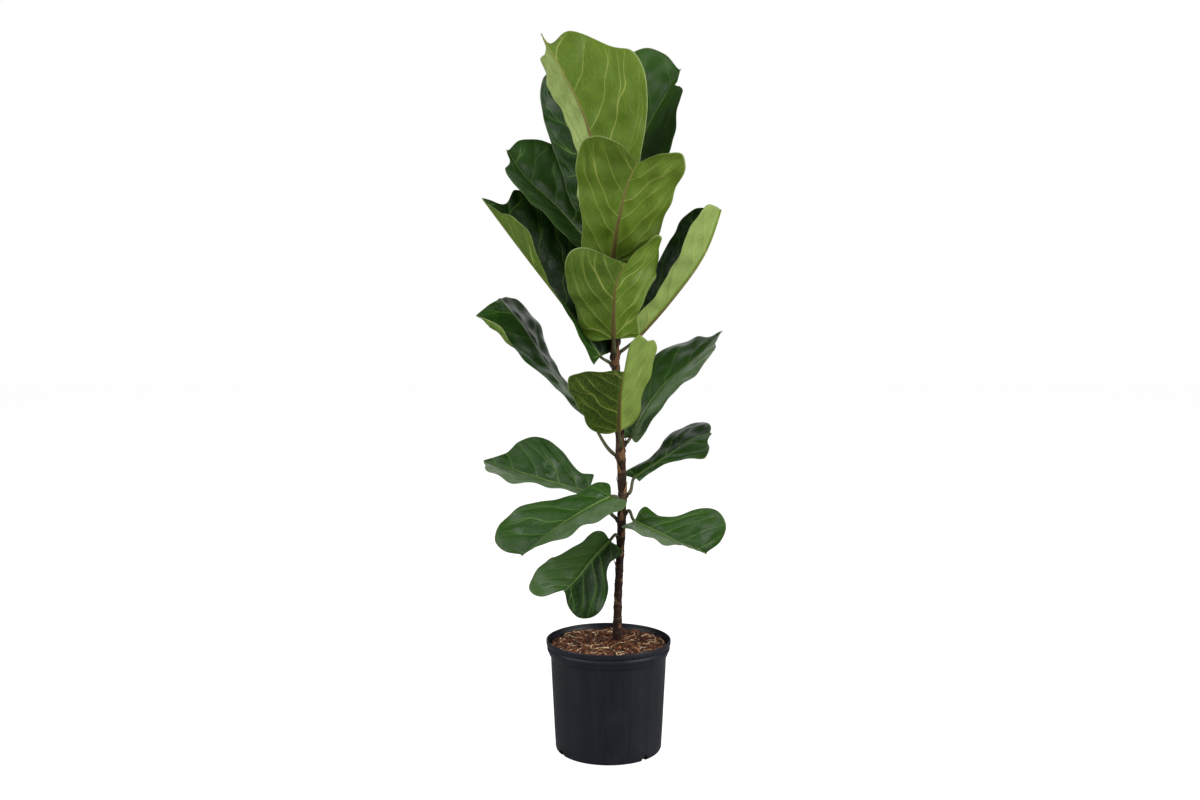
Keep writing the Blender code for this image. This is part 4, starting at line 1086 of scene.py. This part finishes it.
# In each face, "pale" is a painted sheen, and the colour after it is a painted shade for the hollows of
# folded leaves.
foliage = {
    "upper": {"dark": (0.01, 0.041, 0.004), "light": (0.031, 0.097, 0.006), "halo": (0.045, 0.12, 0.015),
              "vein": (0.11, 0.215, 0.04), "midrib": (0.13, 0.21, 0.05), "margin": (0.13, 0.18, 0.05),
              "pale": (0.15, 0.21, 0.12), "paintedShade": (0.004, 0.017, 0.002),
              "net": 0.3, "haloShare": 0.2, "veinShare": 0.7, "lineWidth": 0.36, "softness": 0.6,
              "ribWidth": 0.55, "roughness": (0.27, 0.52), "sheen": 0.34, "netHeight": -0.7, "bump": 0.45},
    "under": {"dark": (0.05, 0.104, 0.006), "light": (0.132, 0.224, 0.008), "halo": (0.16, 0.262, 0.014),
              "vein": (0.37, 0.42, 0.1), "midrib": (0.31, 0.3, 0.075), "margin": (0.27, 0.33, 0.11),
              "pale": (0.36, 0.46, 0.15), "paintedShade": (0.03, 0.062, 0.003),
              "net": 0.42, "haloShare": 0.12, "veinShare": 0.75, "lineWidth": 0.5, "softness": 0.7,
              "ribWidth": 1.0, "roughness": (0.5, 0.66), "sheen": 0.42, "netHeight": 0.7, "bump": 0.55},
    "ribBase": (0.125, 0.09, 0.018), "petiole": (0.06, 0.05, 0.022), "petioleStreak": (0.1, 0.105, 0.04),
}


def leafMaterial(name, face):
    look = foliage[face]
    under = face == "under"
    material, tree, shader = startMaterial(name, Roughness=0.45, Specular_IOR_Level=0.4)
    masks = placeGroup(tree, leafVeins, {"Line Width": look["lineWidth"],
                                         "Softness": look["softness"], "Net Width": 0.05,
                                         "Rib Width": look["ribWidth"]})
    tones = mottled(objectPlace(tree), 14.0, 220.0, 1.3)
    # The leaf's tone with its painted light and shade, from the blade's fields.
    toneAndPaintedLight = fieldOf(tree, "bladePlace")["Alpha"]
    lightness = clamped(times(toneAndPaintedLight, 0.42, times(tones["Broad"], 0.55, 0.15)))
    lightness = times(calc("SUBTRACT", tones["Fine"], 0.5), 0.25, lightness)
    rib = look["midrib"]
    if under:
        rib = blendColor(fade(masks["Along"], 0.4, 3.2), foliage["ribBase"], rib)
    color = blendColor(lightness, look["dark"], look["light"])
    # Painted light comes first: the pale colour is a painted sheen and the next one a painted shade, both
    # led by the painted light in the tone field.
    for amount, over in (
            (fade(toneAndPaintedLight, 0.7, 3.0), look["pale"]), (fade(toneAndPaintedLight, -0.7, -1.6), look["paintedShade"]),
            (times(masks["Halo"], look["haloShare"]), look["halo"]),
            (times(masks["Net"], look["net"]), look["halo"]),
            (times(masks["Laterals"], look["veinShare"]), look["vein"]),
            (masks["Midrib"], rib), (times(masks["Margin"], 0.8), look["margin"])):
        color = blendColor(amount, color, over)
    rough = calc("ADD", fade(tones["Broad"], 0.25, 0.8, *look["roughness"]), -0.05)
    rough = times(masks["Laterals"], 0.08, times(tones["Fine"], 0.1, rough))
    height = times(tones["Fine"], 0.25, times(masks["Net"], look["netHeight"]))
    plug(shader, {"Specular IOR Level": fade(toneAndPaintedLight, -1.7, -0.4, 0.22, look["sheen"])})
    dress(shader, color, rough, bumpFrom(height, look["bump"], 0.0006))
    return material


def petioleMaterial():
    material, tree, shader = startMaterial("petioleSkin", Roughness=0.5)
    tones = mottled(objectPlace(tree), 45.0, 500.0)
    amount = fade(times(tones["Fine"], 0.4, times(tones["Broad"], 0.6)), 0.2, 0.8)
    dress(shader, blendColor(amount, foliage["petiole"], foliage["petioleStreak"]),
          fade(tones["Fine"], 0.2, 0.8, 0.42, 0.62), bumpFrom(tones["Fine"], 0.5, 0.0005))
    return material


def buildLeaves():
    materials = [leafMaterial("leafUpper", "upper"), leafMaterial("leafUnder", "under"),
                 petioleMaterial()]
    return sum(buildLeaf(name, {**leafHabit, **leaf}, materials) for name, leaf in leaves.items())


print("leaves:", buildLeaves(), "faces")


# Four values kept with each point of a bark piece: scar, green, papery and shade.
def barkField(shape, scar=0.0, green=0.0, papery=0.0, shade=0.0):
    return np.stack([value + np.zeros(shape) for value in (scar, green, papery, shade)], -1)


# A sum of smooth bumps, each given by its height, place and width.
def bumps(at, shapes):
    return sum(height * np.exp(-((at - place) / width) ** 2) for height, place, width in shapes)


# The stem's skin: a swollen ring with a groove and a scar at every node, and rough low down.
def stemTube():
    table = np.array(stem["path"], float)
    count = int((table[-1, 2] - table[0, 2]) / stem["ringStep"]) + 1
    heights = np.linspace(table[0, 2], table[-1, 2], count)
    raw = np.stack([np.interp(heights, table[:, 2], table[:, k]) for k in range(4)], -1)
    window = stem["smoothing"]
    padded = np.pad(raw, ((window // 2, window // 2), (0, 0)), mode="reflect", reflect_type="odd")
    path = np.stack([np.convolve(padded[:, k], np.ones(window) / window, "valid") for k in range(4)], -1)
    z, turn = heights[:, None], cornerAngles(stem["sides"])[None, :]
    radius = path[:, 3:4] + 0 * turn
    nodes = [leaf["node"] for leaf in leaves.values()] + list(stem["bareNodes"])
    scar = 0 * radius
    for number, node in enumerate(nodes):
        tilt = 1.6 * np.sin(turn + number * 2.4)
        away = z - node + tilt
        radius += bumps(away, stem["nodeRings"])
        scar += bumps(away, stem["nodeScars"])
    rough = 1 - 0.65 * smoothStep(z, *stem["turnsSmooth"])
    draw = np.random.default_rng(stem["seed"])
    for k in range(stem["waves"]):
        around, twist = draw.integers(3, 15), draw.normal(0, 0.02)
        turnBy, rise = draw.uniform(0, 6.3), draw.uniform(0.03, 0.35)
        wave = np.sin(around * turn + twist * z + turnBy) * np.sin(rise * z + 1.7 * k)
        radius += stem["waveDepth"] * rough * wave
    radius += stem["grainDepth"] * rough * draw.normal(0, 1, radius.shape)
    points = np.stack([path[:, 0:1] + radius * np.cos(turn), path[:, 1:2] + radius * np.sin(turn),
                       z + 0 * turn], -1)
    return points, barkField(radius.shape, scar=scar, green=smoothStep(z, *stem["turnsGreen"]))


def stemCushion(leaf):
    end, way = cushionEnd(leaf)
    length = stemAt(leaf["node"])[3] + blade["cushion"]
    side = unit(np.cross(way, (0, 0, 1.0)))
    top = np.cross(side, way)
    turns, count = cornerAngles(stem["cushionSides"]), stem["cushionRings"]
    rings = []
    for u in np.linspace(0, 1, count):
        radius = stem["cushionFoot"] * (1 - u) ** 1.5 + stem["cushionNeck"]
        radius += math.exp(-((u - 0.72) / 0.16) ** 2)
        if u == 1:
            radius = stem["cushionEnd"]
        centre = end - way * length * (1 - u) + np.array([0, 0, stem["cushionSag"]]) * (1 - u)
        rings.append(ovalRing(centre, turns, 1.05 * radius, side, 1.12 * radius, top))
    scar = np.zeros((count, 1))
    scar[7:10] = 0.35
    return np.array(rings), barkField((count, len(turns)), scar=scar, green=0.25)


# A papery pointed scale that hugs the stem at its foot and leans away at its tip.
def stemStipule(height, azimuth, length, lean, width, number):
    x, y, z, radius = stemAt(height)
    a = math.radians(azimuth)
    out = np.array([math.cos(a), math.sin(a), 0.0])
    side = np.array([-math.sin(a), math.cos(a), 0.0])
    turns, steps = cornerAngles(stem["stipuleSides"]), np.linspace(0, 1, stem["stipuleRings"])
    rings = []
    for u in steps:
        broad = width / 2 * (1 - u) ** 0.8 * (1 + 0.5 * math.sin(math.pi * min(1, 1.6 * u)))
        thick = 0.45 + 0.35 * (1 - u)
        drift = length * (math.sin(math.radians(lean)) * u**1.8)
        bend = 1.5 * math.sin(2.2 * u + number)
        centre = np.array([x, y, z]) + out * (radius + 0.3 + drift) + side * bend * u
        centre[2] += length * u * math.cos(math.radians(lean) * u)
        hug = -0.5 * (np.cos(turns) * broad) ** 2 / (radius + 1.5) * (1 - 0.7 * u)
        ripple = 0.25 * np.sin(5 * np.cos(turns) + 9 * u + number)
        rings.append(centre + np.cos(turns)[:, None] * broad * side
                     + (np.sin(turns) * thick + hug + ripple * u)[:, None] * out)
    shade = 0.25 + 0.35 * (0.5 + 0.5 * math.sin(3.7 * number)) + 0.4 * steps[:, None]
    return np.array(rings), barkField((len(steps), len(turns)), papery=1.0, shade=shade)


def barkMaterial(name, papery):
    material, tree, shader = startMaterial(name, Roughness=0.7, Specular_IOR_Level=0.2)
    place = objectPlace(tree)
    field = fieldOf(tree, "barkField")
    marks = splitVector(field["Vector"])
    long = addNode(tree, "ShaderNodeMapping", {"Vector": place, "Scale": (1.0, 1.0, 0.22)}).outputs[0]
    tones = mottled(long, 90.0, 620.0, 1.5)
    patches = mottled(place, 30.0, 160.0, 1.3)
    if papery:
        tint = times(tones["Fine"], 0.4, times(field["Alpha"], 0.7))
        color = blendColor(fade(tint, 0.1, 0.95), stem["paperDark"], stem["paper"])
    else:
        tint = times(tones["Fine"], 0.5, times(patches["Broad"], 0.5))
        color = blendColor(fade(tint, 0.35, 0.8), stem["bark"], stem["cork"])
        color = blendColor(times(marks["Y"], fade(patches["Fine"], 0.2, 0.7)), color, stem["green"])
        warts = addNode(tree, "ShaderNodeTexVoronoi", {"Vector": place, "Scale": 210.0})
        color = blendColor(times(fade(warts.outputs["Distance"], 0.3, 0.12), 0.5), color, stem["scar"])
        lit = times(times(marks["X"], fade(patches["Broad"], 0.3, 0.65)), 0.75)
        color = blendColor(calc("MINIMUM", lit, 1.0), color, stem["scar"])
    height = times(tones["Fine"], 1.0, times(patches["Fine"], 0.6))
    dress(shader, color, fade(patches["Broad"], 0.2, 0.8, 0.55, 0.85), bumpFrom(height, 0.7, 0.0009))
    return material


# Several tubes as one piece. Each is its points, its bark field and its material slot.
def makeTubes(name, tubes, materials):
    faces, slots, offset = [], [], 0
    for shape, _, slot in tubes:
        rings, around = shape.shape[:2]
        made = [[offset + corner for corner in face] for face in tubeFaces(rings, around)]
        faces += made
        slots += [slot] * len(made)
        offset += rings * around
    points = np.concatenate([shape.reshape(-1, 3) for shape, _, _ in tubes])
    fields = np.concatenate([field.reshape(-1, 4) for _, field, _ in tubes])
    return makeMesh(name, points, faces, materials, slots, {"barkField": fields})


def buildStem(materials):
    skin, paper = 0, 1
    tubes = [(*stemTube(), skin)]
    tubes += [(*stemCushion(leaf), skin) for leaf in leaves.values()]
    tubes += [(*stemStipule(*stipule, number), paper) for number, stipule in enumerate(stem["stipules"])]
    piece = makeTubes("woodyStem", tubes, materials)
    piece.data.set_sharp_from_angle(angle=math.radians(stem["creaseAngle"]))
    finishPiece(piece, "stem_bark", "stem")
    return len(piece.data.polygons)


bud = {
    "length": 30.0, "lean": -8.0, "sides": 28, "rings": 26, "lift": 0.3,
    # share of the height: radius
    "profile": {0: 3.3, 0.12: 3.7, 0.3: 3.7, 0.55: 2.7, 0.8: 1.3, 1: 0.12},
    # azimuth, share of the length, and growth of each sheath
    "sheaths": ((0, 1.0, 0.0), (120, 0.82, 0.35), (245, 0.66, 0.6)),
}


# The growing tip: pointed sheaths wrapped one over another.
def buildBud(material):
    turns, steps = cornerAngles(bud["sides"]), np.linspace(0, 1, bud["rings"])
    lean = math.radians(bud["lean"])
    c, s = math.cos(lean), math.sin(lean)
    tilted = np.array([(c, 0, -s), (0, 1, 0), (s, 0, c)])
    foot = np.array(stem["path"][-1][:3], float)
    along, across = np.array(list(bud["profile"].items())).T
    tubes = []
    for number, (azimuth, tall, grow) in enumerate(bud["sheaths"]):
        a = math.radians(azimuth)
        rings = []
        for u in steps:
            radius = np.interp(u, along, across) * (1 + 0.1 * grow)
            radius = radius * (1 + 0.1 * np.cos(turns - a - 1.5 * u))
            off = 0.5 * grow * (1 - u) + 1.1 * number * u**2
            rings.append(np.stack([off * math.cos(a) + radius * np.cos(turns),
                                   off * math.sin(a) + radius * np.sin(turns),
                                   bud["length"] * tall * u + bud["lift"] + 0 * turns], -1))
        shade = barkField((len(steps), len(turns)), papery=1.0, shade=0.2 + 0.6 * steps[:, None])
        tubes.append((np.array(rings) @ tilted + foot, shade, 0))
    finishPiece(makeTubes("budSheath", tubes, [material]), "bud_sheath", "terminal_bud")


barkMaterials = [barkMaterial("stemBark", False), barkMaterial("stipulePaper", True)]
print("stem:", buildStem(barkMaterials), "faces")
buildBud(barkMaterials[1])
